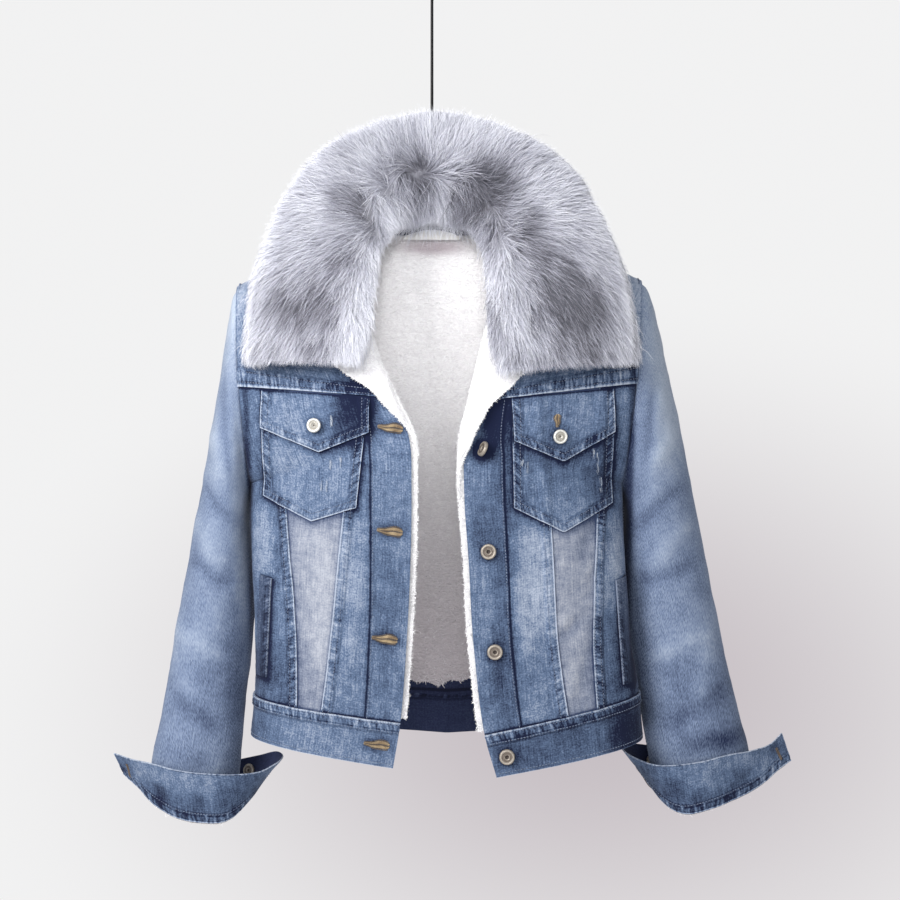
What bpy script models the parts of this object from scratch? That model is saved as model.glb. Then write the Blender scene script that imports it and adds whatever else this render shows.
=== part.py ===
"""A sherpa-lined denim jacket with a wide fur collar, hanging open on a plain wire hanger.

World frame, in metres: the origin is where the hanger's hook rests on a rail, +Z is up, the
jacket's front faces -Y and its left side (the wearer's left) is at +X.

The cloth is worked out from three forms, each a short table with one row for a level or a station:
  - the body, a front and a back surface on each side of the wearer. u runs round the body from the
    centre line (0) to the side seam or armhole (1), v runs up from the hem (0) to the shoulder (1).
  - the sleeves, lofts of tilted ellipses from the armhole to the wrist.
  - the collar and the cuffs, bands between two edges.
Every panel is a stretch of one of these forms, drawn as a sheet with a wall made by Solidify. The
forms are the cloth's inner face, so walls grow outwards. Tables are in millimetres.
"""

import math
from functools import lru_cache

import bmesh
import bpy
import numpy as np
from mathutils import Vector

MM = 0.001

# Cloth walls and clearances, metres.
DENIM = 1.4 * MM
FLEECE = 4.0 * MM
LABEL_WALL = 0.8 * MM
WAISTBAND_WALL = 2.2 * MM
SEAM_GAP = 0.5 * MM
LAYER_GAP = 1.6 * MM
LINING_GAP = 2.6 * MM
ARMHOLE_GAP = 1.8 * MM
BUTTON_GAP = 0.6 * MM
CUFF_BUTTON_GAP = 2.8 * MM

# Hard parts, metres.
FRONT_BUTTON_R = 8.5 * MM
FRONT_BUTTON_H = 4.0 * MM
POCKET_BUTTON_R = 8.0 * MM
POCKET_BUTTON_H = 3.6 * MM
CUFF_BUTTON_R = 7.5 * MM
CUFF_BUTTON_H = 3.4 * MM
WIRE_R = 1.7 * MM
HOOK_INNER_R = 20.0 * MM
HOOK_TIP_DEG = 205.0
HOOK_END_DEG = -48.0
STEM_BOTTOM_Z = -295.2 * MM
ARM_R = 4.0 * MM

# Length of the cloth from the hem to the shoulder, which turns a gap into a step of v.
BODY_HEIGHT = 620 * MM

SIGN = {"right": -1.0, "left": 1.0}

# Levels of the body: v, exponent of the rounded section, and how far it is pulled straight.
LEVELS = {
    # name       v      round  straight
    "hem":      (0.00,  2.6,   0.00),
    "band":     (0.075, 2.6,   0.00),
    "hip":      (0.19,  2.6,   0.00),
    "waist":    (0.32,  2.6,   0.00),
    "pocket":   (0.44,  2.6,   0.08),
    "armpit":   (0.53,  2.5,   0.20),
    "yoke":     (0.64,  2.3,   0.50),
    "lapel":    (0.73,  2.2,   0.70),
    "collar":   (0.86,  2.0,   0.90),
    "neck":     (0.97,  2.0,   1.00),
    "shoulder": (1.00,  2.0,   1.00),
}

# Levels v that every sheet on the body shares, so that the facets of its layers lie parallel.
SHARED_V = (0.15, 0.23, 0.31, 0.39, 0.45, 0.49, 0.53, 0.575, 0.64, 0.70, 0.77, 0.84, 0.90, 0.95)

# The least step of v between a sheet's end and the next shared level.
ROW_ROOM = 0.012

# The open front edge, then the lapel's fold line up to the neck (x, y, z), a row for each level.
FRONT_EDGE = {
    "right": [
        (-41, -86, -909), (-33, -87, -860), (-26, -87, -770), (-22, -86, -684), (-21, -83, -608),
        (-23, -80, -556), (-42, -75, -508), (-63, -66, -458), (-78, -44, -385), (-90, -14, -316),
        (-92, 4, -304),
    ],
    "left": [
        (71, -86, -919), (58, -87, -873), (46, -87, -776), (41, -86, -689), (36, -83, -614),
        (36, -80, -560), (45, -75, -513), (58, -66, -458), (76, -44, -385), (93, -14, -316),
        (95, 4, -304),
    ],
}

# The middle of the back from the hem to the neck seam (x, y, z), a row for each level.
CENTRE_BACK = [
    (17, 64, -901), (17, 66, -851), (16, 68, -779), (13, 68, -702), (11, 66, -622), (9, 63, -560),
    (7, 58, -490), (6, 52, -432), (5, 42, -372), (5, 27, -322), (5, 21, -308),
]

# The side seam from the hem to the armpit (x, y, z), a row for each of the six lower levels.
SIDE_SEAM = {
    "right": [
        (-202, -12, -884), (-198, -14, -839), (-198, -14, -768), (-202, -10, -690), (-205, -2, -640),
        (-206, 6, -602),
    ],
    "left": [
        (236, -12, -888), (232, -14, -837), (223, -14, -778), (217, -10, -692), (216, -2, -640),
        (216, 6, -602),
    ],
}

# Where each upper level meets the armhole, in degrees round it from the armpit to the shoulder.
ARMHOLE_DEG = {"armpit": 0, "yoke": 88, "lapel": 112, "collar": 142, "neck": 168, "shoulder": 180}

# Sleeves: outer x and z, inner x and z, y of the middle, half depth, from the armhole down.
SLEEVE = {
    "right": [
        (-227, -379, -206, -602, 6, 46),
        (-237, -412, -210, -619, 10, 53),
        (-246, -464, -211, -640, 15, 58),
        (-259, -542, -210, -672, 20, 60),
        (-273, -623, -208, -712, 22, 57),
        (-287, -704, -208, -752, 22, 53),
        (-300, -785, -211, -802, 20, 49),
        (-311, -859, -217, -863, 15, 44),
        (-320, -927, -222, -929, 8, 36),
        (-309, -962, -228, -972, 6, 24),
    ],
    "left": [
        (239, -372, 216, -602, 6, 46),
        (252, -400, 220, -619, 10, 53),
        (266, -459, 221, -640, 15, 58),
        (284, -536, 220, -672, 20, 60),
        (301, -623, 221, -712, 22, 57),
        (317, -704, 224, -752, 22, 53),
        (333, -785, 233, -802, 20, 49),
        (348, -853, 241, -857, 15, 44),
        (363, -916, 251, -920, 8, 36),
        (353, -951, 262, -961, 6, 24),
    ],
}

# Turned-up cuffs: rim (x, y, z) and fold (x, y, z), from the buttonhole end round the front and the
# inner corner to the button end behind the sleeve.
CUFF = {
    "right": [
        ((-365, 8, -913), (-354, 10, -937)),
        ((-344, -6, -916), (-334, 0, -951)),
        ((-317, -24, -917), (-315, -12, -966)),
        ((-285, -38, -922), (-287, -24, -978)),
        ((-251, -46, -924), (-259, -31, -982)),
        ((-217, -42, -926), (-231, -28, -981)),
        ((-190, -26, -925), (-209, -16, -963)),
        ((-172, 2, -917), (-193, 6, -940)),
        ((-180, 22, -914), (-203, 22, -956)),
        ((-203, 38, -922), (-224, 36, -973)),
        ((-230, 50, -930), (-245, 44, -982)),
    ],
    "left": [
        ((401, 8, -890), (412, 10, -922)),
        ((384, -6, -900), (395, 0, -930)),
        ((360, -24, -903), (372, -12, -945)),
        ((330, -38, -905), (344, -24, -956)),
        ((298, -46, -911), (314, -31, -966)),
        ((263, -42, -916), (285, -28, -973)),
        ((241, -26, -916), (263, -16, -963)),
        ((219, 2, -908), (243, 6, -937)),
        ((226, 22, -906), (252, 22, -953)),
        ((243, 38, -909), (270, 36, -968)),
        ((268, 50, -915), (291, 44, -977)),
    ],
}
CUFF_LIP_IN = 7.0 * MM
CUFF_LIP_UP = 3.0 * MM
CUFF_FLEECE_R = 3.0 * MM
CUFF_FLEECE_GAP = 0.8 * MM
CUFF_LIP_SHARE = 0.16

# The collar's hide, from its right end round the neck to its left end: inner edge (x, y, z), outer
# edge (x, y, z), how far the hide bows forward between them, and the depth of the fur on it.
COLLAR = [
    ((-78, -88, -474), (-207, -60, -472), 6, 24),
    ((-66, -82, -440), (-206, -58, -438), 6, 28),
    ((-60, -66, -394), (-204, -46, -387), 8, 31),
    ((-54, -46, -352), (-189, -26, -333), 10, 33),
    ((-46, -22, -330), (-159, -4, -262), 8, 36),
    ((-30, 4, -312), (-104, 14, -203), 4, 40),
    ((4, 14, -303), (0, 22, -172), 0, 44),
    ((38, 4, -314), (99, 14, -198), 4, 40),
    ((51, -22, -332), (160, -4, -244), 8, 36),
    ((56, -46, -356), (200, -26, -314), 10, 33),
    ((58, -66, -400), (222, -46, -381), 8, 31),
    ((60, -82, -440), (230, -58, -438), 6, 28),
    ((74, -91, -485), (227, -60, -470), 6, 24),
]
# Room cut in the pile for the hanger's arms at the neck (middle, size), and for its stem.
NECK_ROOM = ((2, 24, -322), (150, 64, 60))
STEM_HOLE_R = 4.5 * MM
# Section of the fur: place across the hide, and height as a share of the fur's depth.
FUR_SECTION = [
    (0.00, 0.00), (0.25, 0.00), (0.50, 0.00), (0.75, 0.00), (1.00, 0.00), (1.06, 0.35), (0.99, 0.75),
    (0.78, 0.98), (0.50, 1.04), (0.22, 1.00), (0.02, 0.82), (-0.08, 0.42),
]
# The under-collar: its gap behind the hide, its upper edge across the hide, the stations between
# which it is sewn to the neck seam, and where it starts across the hide before and after them.
UNDER_COLLAR_GAP = 1.6 * MM
UNDER_COLLAR_TOP = 0.92
NECK_STATIONS = (4.0, 8.0)
UNDER_COLLAR_FOOT = [(0, 0.06), (1, 0.10), (2, 0.16), (3, 0.30), (4, 0.42)]
NECK_SEAM_RISE = 3.5 * MM

# Seams down each front, as shares of the way round the front: at the waistband, at the pocket's
# foot and at the yoke.
FRONT_SEAMS = {
    "right": {"placket": (0.19, 0.20, 0.20), "inner": (0.43, 0.33, 0.31), "outer": (0.565, 0.63, 0.67)},
    "left": {"placket": (0.19, 0.20, 0.20), "inner": (0.435, 0.43, 0.42), "outer": (0.59, 0.69, 0.75)},
}
# The seam down each half of the back, in the same way.
BACK_SEAM = (0.36, 0.44, 0.52)

# Flaps and pockets on each front (x, z): top inner, top outer, bottom inner, tip, bottom outer.
CHEST_POCKET = {
    "right": [(-69, -516), (-187, -513), (-81, -628), (-130, -643), (-186, -616)],
    "left": [(88, -521), (201, -516), (90, -628), (144, -655), (200, -624)],
}
POCKET_FLAP = {
    "right": [(-67, -511), (-187, -508), (-67, -546), (-122, -567), (-187, -540)],
    "left": [(88, -515), (201, -510), (90, -555), (144, -577), (201, -544)],
}
SIDE_WELT = {
    "right": [(-174, -706), (-187, -703), (-180, -815), (-186, -815), (-193, -814)],
    "left": [(202, -709), (215, -706), (210, -823), (216, -823), (223, -821)],
}

# Buttons on the left placket (x, z), and on each flap.
FRONT_BUTTONS = [(57, -565), (62, -675), (69, -783), (82, -896)]
POCKET_BUTTONS = {"right": (-126, -538), "left": (139, -550)}
# Cuff buttons: station along the cuff, and share of the way from its fold to its rim.
CUFF_BUTTON_AT = (9.1, 0.72)

# The rolled lapel: width of the turned fleece as a share of the front, at levels v from the break up.
LAPEL_WIDTH = [(0.505, 0.02), (0.56, 0.05), (0.61, 0.11), (0.66, 0.21), (0.72, 0.33), (0.78, 0.40)]
LAPEL_ROLL = -0.028
LINING_EDGE = -0.034

# Neck label: half width at the foot, height, and the level of its foot.
LABEL_CENTRE_X = 0.0
LABEL_HALF = 33.0 * MM
LABEL_HEIGHT = 11.0 * MM
LABEL_FOOT_Z = -323.0 * MM
LABEL_Y = 11.0 * MM

# Hanger arms: centre line (x, y, z) from the right tip over the middle to the left tip.
HANGER_ARMS = [
    (-203, 4, -386), (-160, 2, -362), (-100, 0, -331), (-50, 0, -310), (0, 0, -300), (50, 0, -310),
    (100, 0, -331), (165, 2, -362), (214, 4, -385),
]

MATERIALS = {
    # name:          colour (linear)        roughness, metallic
    "denim":        ((0.24, 0.36, 0.55), 0.85, 0.0),
    "dark_denim":   ((0.10, 0.16, 0.32), 0.85, 0.0),
    "fleece":       ((0.80, 0.78, 0.78), 0.95, 0.0),
    "fur":          ((0.45, 0.47, 0.53), 0.90, 0.0),
    "label":        ((0.85, 0.84, 0.82), 0.70, 0.0),
    "brass":        ((0.66, 0.58, 0.46), 0.35, 1.0),
    "black_metal":  ((0.01, 0.01, 0.012), 0.35, 1.0),
}


# ---------------------------------------------------------------------------------- tables to curves

def smooth(levels, values, at):
    """The value at a level on a smooth curve through a table's rows."""
    levels = np.asarray(levels, float)
    values = np.asarray(values, float)
    steps = np.diff(levels)
    slopes = np.diff(values, axis=0) / (steps if values.ndim == 1 else steps[:, None])
    tangents = np.empty_like(values)
    tangents[0], tangents[-1] = slopes[0], slopes[-1]
    for i in range(1, len(levels) - 1):
        w = steps[i] / (steps[i - 1] + steps[i])
        tangents[i] = w * slopes[i - 1] + (1 - w) * slopes[i]
    i = int(np.clip(np.searchsorted(levels, at) - 1, 0, len(steps) - 1))
    t = (at - levels[i]) / steps[i]
    if t < 0 or t > 1:
        end = 0 if t < 0 else -1
        return values[end] + (at - levels[end]) * tangents[end]
    h = steps[i]
    return ((2 * t**3 - 3 * t**2 + 1) * values[i] + (t**3 - 2 * t**2 + t) * h * tangents[i]
            + (3 * t**2 - 2 * t**3) * values[i + 1] + (t**3 - t**2) * h * tangents[i + 1])


LEVEL_V = [row[0] for row in LEVELS.values()]
LEVEL_ROUND = [row[1] for row in LEVELS.values()]
LEVEL_STRAIGHT = [row[2] for row in LEVELS.values()]
V_BAND = LEVELS["band"][0]
V_ARMPIT = LEVELS["armpit"][0]
V_YOKE = LEVELS["yoke"][0]
ARMHOLE_V = [LEVELS[name][0] for name in ARMHOLE_DEG]


# ------------------------------------------------------------------------------------------- the body

def armhole_point(side, degrees, to_front):
    """A point on the armhole, 0 degrees at the armpit and 180 at the shoulder."""
    out_x, out_z, in_x, in_z, mid_y, half_depth = SLEEVE[side][0]
    turn = math.radians(degrees)
    share = (1 - math.cos(turn)) / 2
    depth = -half_depth if to_front else half_depth
    x = in_x + (out_x - in_x) * share
    z = in_z + (out_z - in_z) * share
    return np.array([x, mid_y + depth * math.sin(turn), z]) * MM


def side_point(side, v, to_front):
    """The side seam below the armpit, and the armhole's front or back edge above it."""
    if v <= V_ARMPIT:
        seam = SIDE_SEAM[side]
        return smooth(LEVEL_V[:len(seam)], seam, v) * MM
    return armhole_point(side, float(smooth(ARMHOLE_V, list(ARMHOLE_DEG.values()), v)), to_front)


@lru_cache(maxsize=None)
def body_line(side, v, to_front):
    """One level of the body as points along the cloth, with the share of the length at each."""
    table = FRONT_EDGE[side] if to_front else CENTRE_BACK
    start = smooth(LEVEL_V, table, v) * MM
    end = side_point(side, v, to_front)
    power = 2.0 / float(smooth(LEVEL_V, LEVEL_ROUND, v))
    straight = float(np.clip(smooth(LEVEL_V, LEVEL_STRAIGHT, v), 0, 1))
    turn = np.linspace(0, math.pi / 2, 61)
    across = np.sin(turn) ** power
    rest = np.cos(turn) ** power
    rest[-1] = 0.0
    rest = (1 - straight) * rest + straight * (1 - across)
    line = np.stack([start[0] + (end[0] - start[0]) * across,
                     end[1] + (start[1] - end[1]) * rest,
                     start[2] + (end[2] - start[2]) * across], axis=1)
    length = np.concatenate([[0.0], np.cumsum(np.linalg.norm(np.diff(line, axis=0), axis=1))])
    return line, length / length[-1], length[-1]


def back_top(side, u):
    """The back's upper edge: the neck curve up to the neck point, then the shoulder seam."""
    neck = np.array(CENTRE_BACK[-1]) * MM
    point = np.array(FRONT_EDGE[side][-1]) * MM
    shoulder = armhole_point(side, 180, False)
    neck_share = abs(point[0] - neck[0]) / abs(shoulder[0] - neck[0])
    if u >= neck_share:
        return point + (shoulder - point) * (u - neck_share) / (1 - neck_share)
    turn = math.pi / 2 * u / neck_share
    return np.array([neck[0] + (point[0] - neck[0]) * math.sin(turn),
                     neck[1] + (point[1] - neck[1]) * (1 - math.cos(turn)),
                     neck[2] + (point[2] - neck[2]) * (1 - math.cos(turn))])


def body_point(side, u, v, to_front):
    """A point on the body's cloth; a little way past the front edge (u under 0) goes on across."""
    line, share, length = body_line(side, round(v, 5), to_front)
    point = np.array([np.interp(u, share, line[:, k]) for k in range(3)])
    if u < 0:
        ahead = line[1] - line[0]
        point += ahead / np.linalg.norm(ahead) * u * length
    fade = (v - 0.80) / 0.20
    if fade > 0 and not to_front:
        top_line, top_share, _ = body_line(side, 1.0, to_front)
        flat = np.array([np.interp(u, top_share, top_line[:, k]) for k in range(3)])
        point = point + fade**2 * (back_top(side, u) - flat)
    return point


def lifted(side, u, v, to_front, height):
    """A point on the body's cloth moved out (or in, below 0) square to it."""
    step = 0.004
    low_u = u - step if to_front else max(u - step, 0.0)
    across = body_point(side, min(u + step, 1), v, to_front) - body_point(side, low_u, v, to_front)
    along = body_point(side, u, min(v + step, 1), to_front) - body_point(side, u, max(v - step, 0), to_front)
    normal = np.cross(across, along) * SIGN[side] * (1 if to_front else -1)
    normal /= np.linalg.norm(normal)
    return body_point(side, u, v, to_front) + normal * height, normal


def find_front(side, x, z):
    """The place (u, v) on a front that lies at x and z."""
    u, v, step = 0.5, 0.5, 0.002
    for _ in range(12):
        here = body_point(side, u, v, True)
        du = (body_point(side, u + step, v, True) - here) / step
        dv = (body_point(side, u, v + step, True) - here) / step
        miss = (x - here[0], z - here[2])
        slope = du[0] * dv[2] - dv[0] * du[2]
        u = float(np.clip(u + (miss[0] * dv[2] - dv[0] * miss[1]) / slope, -0.02, 0.99))
        v = float(np.clip(v + (du[0] * miss[1] - miss[0] * du[2]) / slope, 0.0, 0.99))
    return u, v


def on_front(side, x_mm, z_mm, height):
    """A point lifted from a front at x and z in millimetres, with its normal."""
    u, v = find_front(side, x_mm * MM, z_mm * MM)
    return lifted(side, u, v, True, height)


# ------------------------------------------------------------------------------ sleeves, cuffs, collar

def sleeve_point(side, share, turns):
    """A point on a sleeve: share 0 at the armhole and 1 at the wrist, turns from the inner side."""
    rows = np.array(SLEEVE[side], float) * MM
    out_x, out_z, in_x, in_z, mid_y, half_depth = smooth(range(len(rows)), rows, share * (len(rows) - 1))
    turn = 2 * math.pi * turns
    mix = (1 - math.cos(turn)) / 2
    gap = SIGN[side] * ARMHOLE_GAP * max(0.0, 1 - share * 6)
    return np.array([in_x + (out_x - in_x) * mix + gap, mid_y - half_depth * math.sin(turn),
                     in_z + (out_z - in_z) * mix])


def cuff_edges(side, station):
    """The cuff's rim and fold at a station."""
    rows = np.array(CUFF[side], float) * MM
    rim = smooth(range(len(rows)), rows[:, 0], station)
    fold = smooth(range(len(rows)), rows[:, 1], station)
    return rim, fold


def cuff_inward(side, station):
    """The level direction from the cuff's fold towards the middle of the wrist."""
    wrist = sleeve_point(side, 1.0, 0.0) * 0.5 + sleeve_point(side, 1.0, 0.5) * 0.5
    towards = wrist - cuff_edges(side, station)[1]
    towards[2] = 0.0
    return towards / np.linalg.norm(towards)


def cuff_point(side, along, up):
    """A point on a cuff: along from the buttonhole end, up from the turned lip to the rim."""
    station = along * (len(CUFF[side]) - 1)
    rim, fold = cuff_edges(side, station)
    if up < CUFF_LIP_SHARE:
        back = (CUFF_LIP_SHARE - up) / CUFF_LIP_SHARE
        return fold + cuff_inward(side, station) * CUFF_LIP_IN * back + np.array([0, 0, CUFF_LIP_UP * back**2])
    rise = (up - CUFF_LIP_SHARE) / (1 - CUFF_LIP_SHARE)
    return fold + (rim - fold) * rise


def collar_hide(along, across):
    """A point on the collar's hide, with its forward direction and the depth of the fur there."""
    stations = range(len(COLLAR))
    at = along * (len(COLLAR) - 1)

    def place(station, share):
        inner = smooth(stations, [row[0] for row in COLLAR], station) * MM
        outer = smooth(stations, [row[1] for row in COLLAR], station) * MM
        bow = float(smooth(stations, [row[2] for row in COLLAR], station)) * MM
        held = min(max(share, 0.0), 1.0)
        point = inner + (outer - inner) * share
        point[1] -= bow * 4 * held * (1 - held)
        return point

    here = place(at, across)
    forward = np.cross(place(at + 0.05, across) - place(at - 0.05, across),
                       place(at, across + 0.05) - place(at, across - 0.05))
    forward /= np.linalg.norm(forward)
    if forward[1] > 0:
        forward = -forward
    return here, forward, float(smooth(stations, [row[3] for row in COLLAR], at)) * MM


# ---------------------------------------------------------------------------------- making the solids

def paint(obj, name):
    """Gives an object its own material with a named finish."""
    colour, roughness, metallic = MATERIALS[name]
    material = bpy.data.materials.new(obj.name + "_" + name)
    material.use_nodes = True
    shader = material.node_tree.nodes["Principled BSDF"]
    shader.inputs["Base Color"].default_value = (*colour, 1.0)
    shader.inputs["Roughness"].default_value = roughness
    shader.inputs["Metallic"].default_value = metallic
    material.diffuse_color = (*colour, 1.0)
    obj.data.materials.append(material)


def keep(obj, name, finish):
    """Names an object, puts it in the jacket's collection and paints it."""
    obj.name = name
    obj.data.name = name
    for old in list(obj.users_collection):
        old.objects.unlink(obj)
    JACKET.objects.link(obj)
    paint(obj, finish)
    return obj


def grid_mesh(point, columns, rows, flip, closed=False):
    """A grid of cloth, drawn by a function of (s, t), both from 0 to 1."""
    bm = bmesh.new()
    bmesh.ops.create_grid(bm, x_segments=columns, y_segments=rows, size=0.5)
    for vert in bm.verts:
        vert.co = Vector(point(vert.co.x + 0.5, vert.co.y + 0.5))
    if closed:
        bmesh.ops.remove_doubles(bm, verts=bm.verts, dist=0.01 * MM)
    if flip:
        bmesh.ops.reverse_faces(bm, faces=bm.faces)
    return bm


def mesh_object(bm, name, finish):
    """Turns a bmesh into a named, painted object."""
    mesh = bpy.data.meshes.new(name)
    bm.to_mesh(mesh)
    bm.free()
    mesh.shade_smooth()
    mesh.set_sharp_from_angle(angle=math.radians(40))
    return keep(bpy.data.objects.new(name, mesh), name, finish)


def sheet(name, point, columns, rows, flip, wall, finish, closed=False):
    """A cloth wall on a drawn surface, growing outwards from it."""
    obj = mesh_object(grid_mesh(point, columns, rows, flip, closed), name, finish)
    solidify = obj.modifiers.new("wall", "SOLIDIFY")
    solidify.thickness = wall
    solidify.offset = 1.0
    solidify.use_even_offset = True
    return obj


def rows_between(bottom, top):
    """The levels of a sheet's rows: its own two ends and the shared levels between them."""
    v_gap = SEAM_GAP / BODY_HEIGHT
    low, high = bottom + v_gap, top - v_gap
    return [low] + [v for v in SHARED_V if low + ROW_ROOM < v < high - ROW_ROOM] + [high]


def row_level(levels, t):
    """The level v of a sheet's row, t from 0 at its bottom to 1 at its top."""
    rows = len(levels) - 1
    return float(np.interp(t * rows, range(rows + 1), levels))


def panel(name, side, to_front, left_edge, right_edge, bottom, top, columns,
          height=0.0, wall=DENIM, finish="denim"):
    """A panel of the body between two seams u(v) and two levels v, with seam gaps all round."""
    levels = rows_between(bottom, top)

    def point(s, t):
        v = row_level(levels, t)
        u_gap = SEAM_GAP / body_line(side, round(v, 5), to_front)[2]
        low = left_edge(v) + u_gap
        high = right_edge(v) - u_gap
        return lifted(side, low + (high - low) * s, v, to_front, height)[0]

    flip = (side == "right") == to_front
    return sheet(name, point, columns, len(levels) - 1, flip, wall, finish)


def seam(shares):
    """A seam's place u(v), from its shares at the waistband, the pocket's foot and the yoke."""
    def at(v):
        return float(np.interp(v, (V_BAND, LEVELS["pocket"][0], V_YOKE), shares))
    return at


def edge(u):
    """A straight edge at one u."""
    return lambda v: u


def patch(name, side, corners, columns, rows, height, wall, finish):
    """A patch that lies on a front, from its five corners."""
    top_in, top_out, low_in, tip, low_out = [np.array(c, float) for c in corners]

    def point(s, t):
        head = top_in + (top_out - top_in) * s
        foot = low_in + (tip - low_in) * s * 2 if s <= 0.5 else tip + (low_out - tip) * (s * 2 - 1)
        x, z = foot + (head - foot) * t
        return on_front(side, x, z, height)[0]

    return sheet(name, point, columns, rows, side == "right", wall, finish)


def disc(name, centre, normal, radius, height, finish):
    """A button: a short cylinder with a softened rim, standing on a point."""
    bpy.ops.mesh.primitive_cylinder_add(
        vertices=16, radius=radius, depth=height,
        location=Vector(centre) + Vector(normal) * (height / 2),
        rotation=Vector(normal).to_track_quat("Z", "Y").to_euler())
    obj = keep(bpy.context.object, name, finish)
    bevel = obj.modifiers.new("rim", "BEVEL")
    bevel.width = 0.8 * MM
    bevel.segments = 1
    return obj


def wire(name, points, radius, finish):
    """A round wire along a list of points."""
    curve = bpy.data.curves.new(name, "CURVE")
    curve.dimensions = "3D"
    curve.bevel_depth = radius
    curve.bevel_resolution = 2
    curve.use_fill_caps = True
    spline = curve.splines.new("POLY")
    spline.points.add(len(points) - 1)
    for target, source in zip(spline.points, points):
        target.co = (*source, 1.0)
    return keep(bpy.data.objects.new(name, curve), name, finish)


# ------------------------------------------------------------------------------------- sub-assemblies

def make_fronts():
    """The fronts' panels, their plackets and yokes."""
    for side in SIGN:
        seams = {name: seam(shares) for name, shares in FRONT_SEAMS[side].items()}
        body = (V_BAND, V_YOKE)
        panel("placket_" + side, side, True, edge(0.0), seams["placket"], *body, 2)
        panel("front_centre_" + side, side, True, seams["placket"], seams["inner"], *body, 3)
        panel("front_middle_" + side, side, True, seams["inner"], seams["outer"], *body, 4)
        panel("front_side_" + side, side, True, seams["outer"], edge(1.0), *body, 6)
        panel("front_yoke_" + side, side, True, edge(0.0), edge(1.0), V_YOKE, 1.0, 7)


def make_back():
    """The back's yoke, its centre panel and its two side panels."""
    back_seam = seam(BACK_SEAM)

    def across_back(name, reach, bottom, top, columns, height=0.0, wall=DENIM, finish="denim"):
        levels = rows_between(bottom, top)

        def point(s, t):
            v = row_level(levels, t)
            place = 2 * s - 1
            side = "left" if place > 0 else "right"
            u_gap = SEAM_GAP / body_line(side, round(v, 5), False)[2]
            u = abs(place) * (reach(v) - u_gap)
            return lifted(side, u, v, False, height)[0]

        sheet(name, point, columns, len(levels) - 1, True, wall, finish)

    across_back("back_yoke", edge(1.0), V_YOKE, 1.0, 16)
    across_back("back_centre", back_seam, V_BAND, V_YOKE, 8)
    for side in SIGN:
        panel("back_side_" + side, side, False, back_seam, edge(1.0), V_BAND, V_YOKE, 6)
    across_back("lining_back", edge(0.935), V_BAND + 0.012, 0.985, 22,
                height=-(LINING_GAP + FLEECE), wall=FLEECE, finish="fleece")


def make_waistband():
    """The waistband, one strip from the right front edge round the back to the left front edge."""
    def point(s, t):
        v = (V_BAND - SEAM_GAP / BODY_HEIGHT) * t
        quarter = s * 4
        if quarter < 1:
            return body_point("right", quarter, v, True)
        if quarter < 2:
            return body_point("right", 2 - quarter, v, False)
        if quarter < 3:
            return body_point("left", quarter - 2, v, False)
        return body_point("left", 4 - quarter, v, True)

    sheet("waistband", point, 44, 1, True, WAISTBAND_WALL, "denim")


def make_fleece():
    """The fronts' linings and the rolled lapels."""
    for side in SIGN:
        break_v = LAPEL_WIDTH[0][0]

        def lining_edge(v):
            return LINING_EDGE if v < break_v else 0.012

        panel("lining_front_" + side, side, True, lining_edge, edge(0.94), V_BAND + 0.004, 0.94, 9,
              height=-(LINING_GAP + FLEECE), wall=FLEECE, finish="fleece")

        def lapel_edge(v):
            return float(np.interp(v, *zip(*LAPEL_WIDTH)))

        panel("lapel_" + side, side, True, edge(LAPEL_ROLL), lapel_edge, break_v, LAPEL_WIDTH[-1][0], 5,
              height=DENIM + LAYER_GAP, wall=FLEECE, finish="fleece")


def make_pockets():
    """Chest pockets, their flaps and the side welts."""
    for side in SIGN:
        pocket_height = DENIM + LAYER_GAP
        flap_height = pocket_height + DENIM + LAYER_GAP
        patch("chest_pocket_" + side, side, CHEST_POCKET[side], 8, 6, pocket_height, DENIM, "denim")
        patch("pocket_flap_" + side, side, POCKET_FLAP[side], 8, 2, flap_height, DENIM, "denim")
        patch("side_welt_" + side, side, SIDE_WELT[side], 2, 5, pocket_height, DENIM, "dark_denim")
        top = flap_height + DENIM + BUTTON_GAP
        centre, normal = on_front(side, *POCKET_BUTTONS[side], top)
        disc("pocket_button_" + side, centre, normal, POCKET_BUTTON_R, POCKET_BUTTON_H, "brass")


def make_sleeves():
    """Sleeves, turned-up cuffs, the fleece that shows under their folds, and cuff buttons."""
    for side in SIGN:
        mirrored = side == "left"

        def sleeve(s, t):
            return sleeve_point(side, 1 - t, s)

        sheet("sleeve_" + side, sleeve, 18, 12, mirrored, DENIM, "denim", closed=True)

        def cuff(s, t):
            return cuff_point(side, s, t)

        sheet("cuff_" + side, cuff, 20, 4, not mirrored, DENIM, "denim")

        fringe = []
        for station in np.linspace(1.6, 6.0, 10):
            fold = cuff_edges(side, station)[1]
            below = np.array([0, 0, -(DENIM + CUFF_FLEECE_R + CUFF_FLEECE_GAP)])
            fringe.append(fold + cuff_inward(side, station) * CUFF_LIP_IN * 0.6 + below)
        wire("cuff_fleece_" + side, fringe, CUFF_FLEECE_R, "fleece")

        last = len(CUFF[side]) - 1
        along, up = CUFF_BUTTON_AT[0] / last, CUFF_BUTTON_AT[1]
        here = cuff_point(side, along, up)
        across = cuff_point(side, along + 0.01, up) - here
        rise = cuff_point(side, along, up + 0.05) - here
        inward = np.cross(across, rise) * (1 if mirrored else -1)
        inward /= np.linalg.norm(inward)
        centre = here + inward * CUFF_BUTTON_GAP
        disc("cuff_button_" + side, centre, inward, CUFF_BUTTON_R, CUFF_BUTTON_H, "brass")


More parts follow.
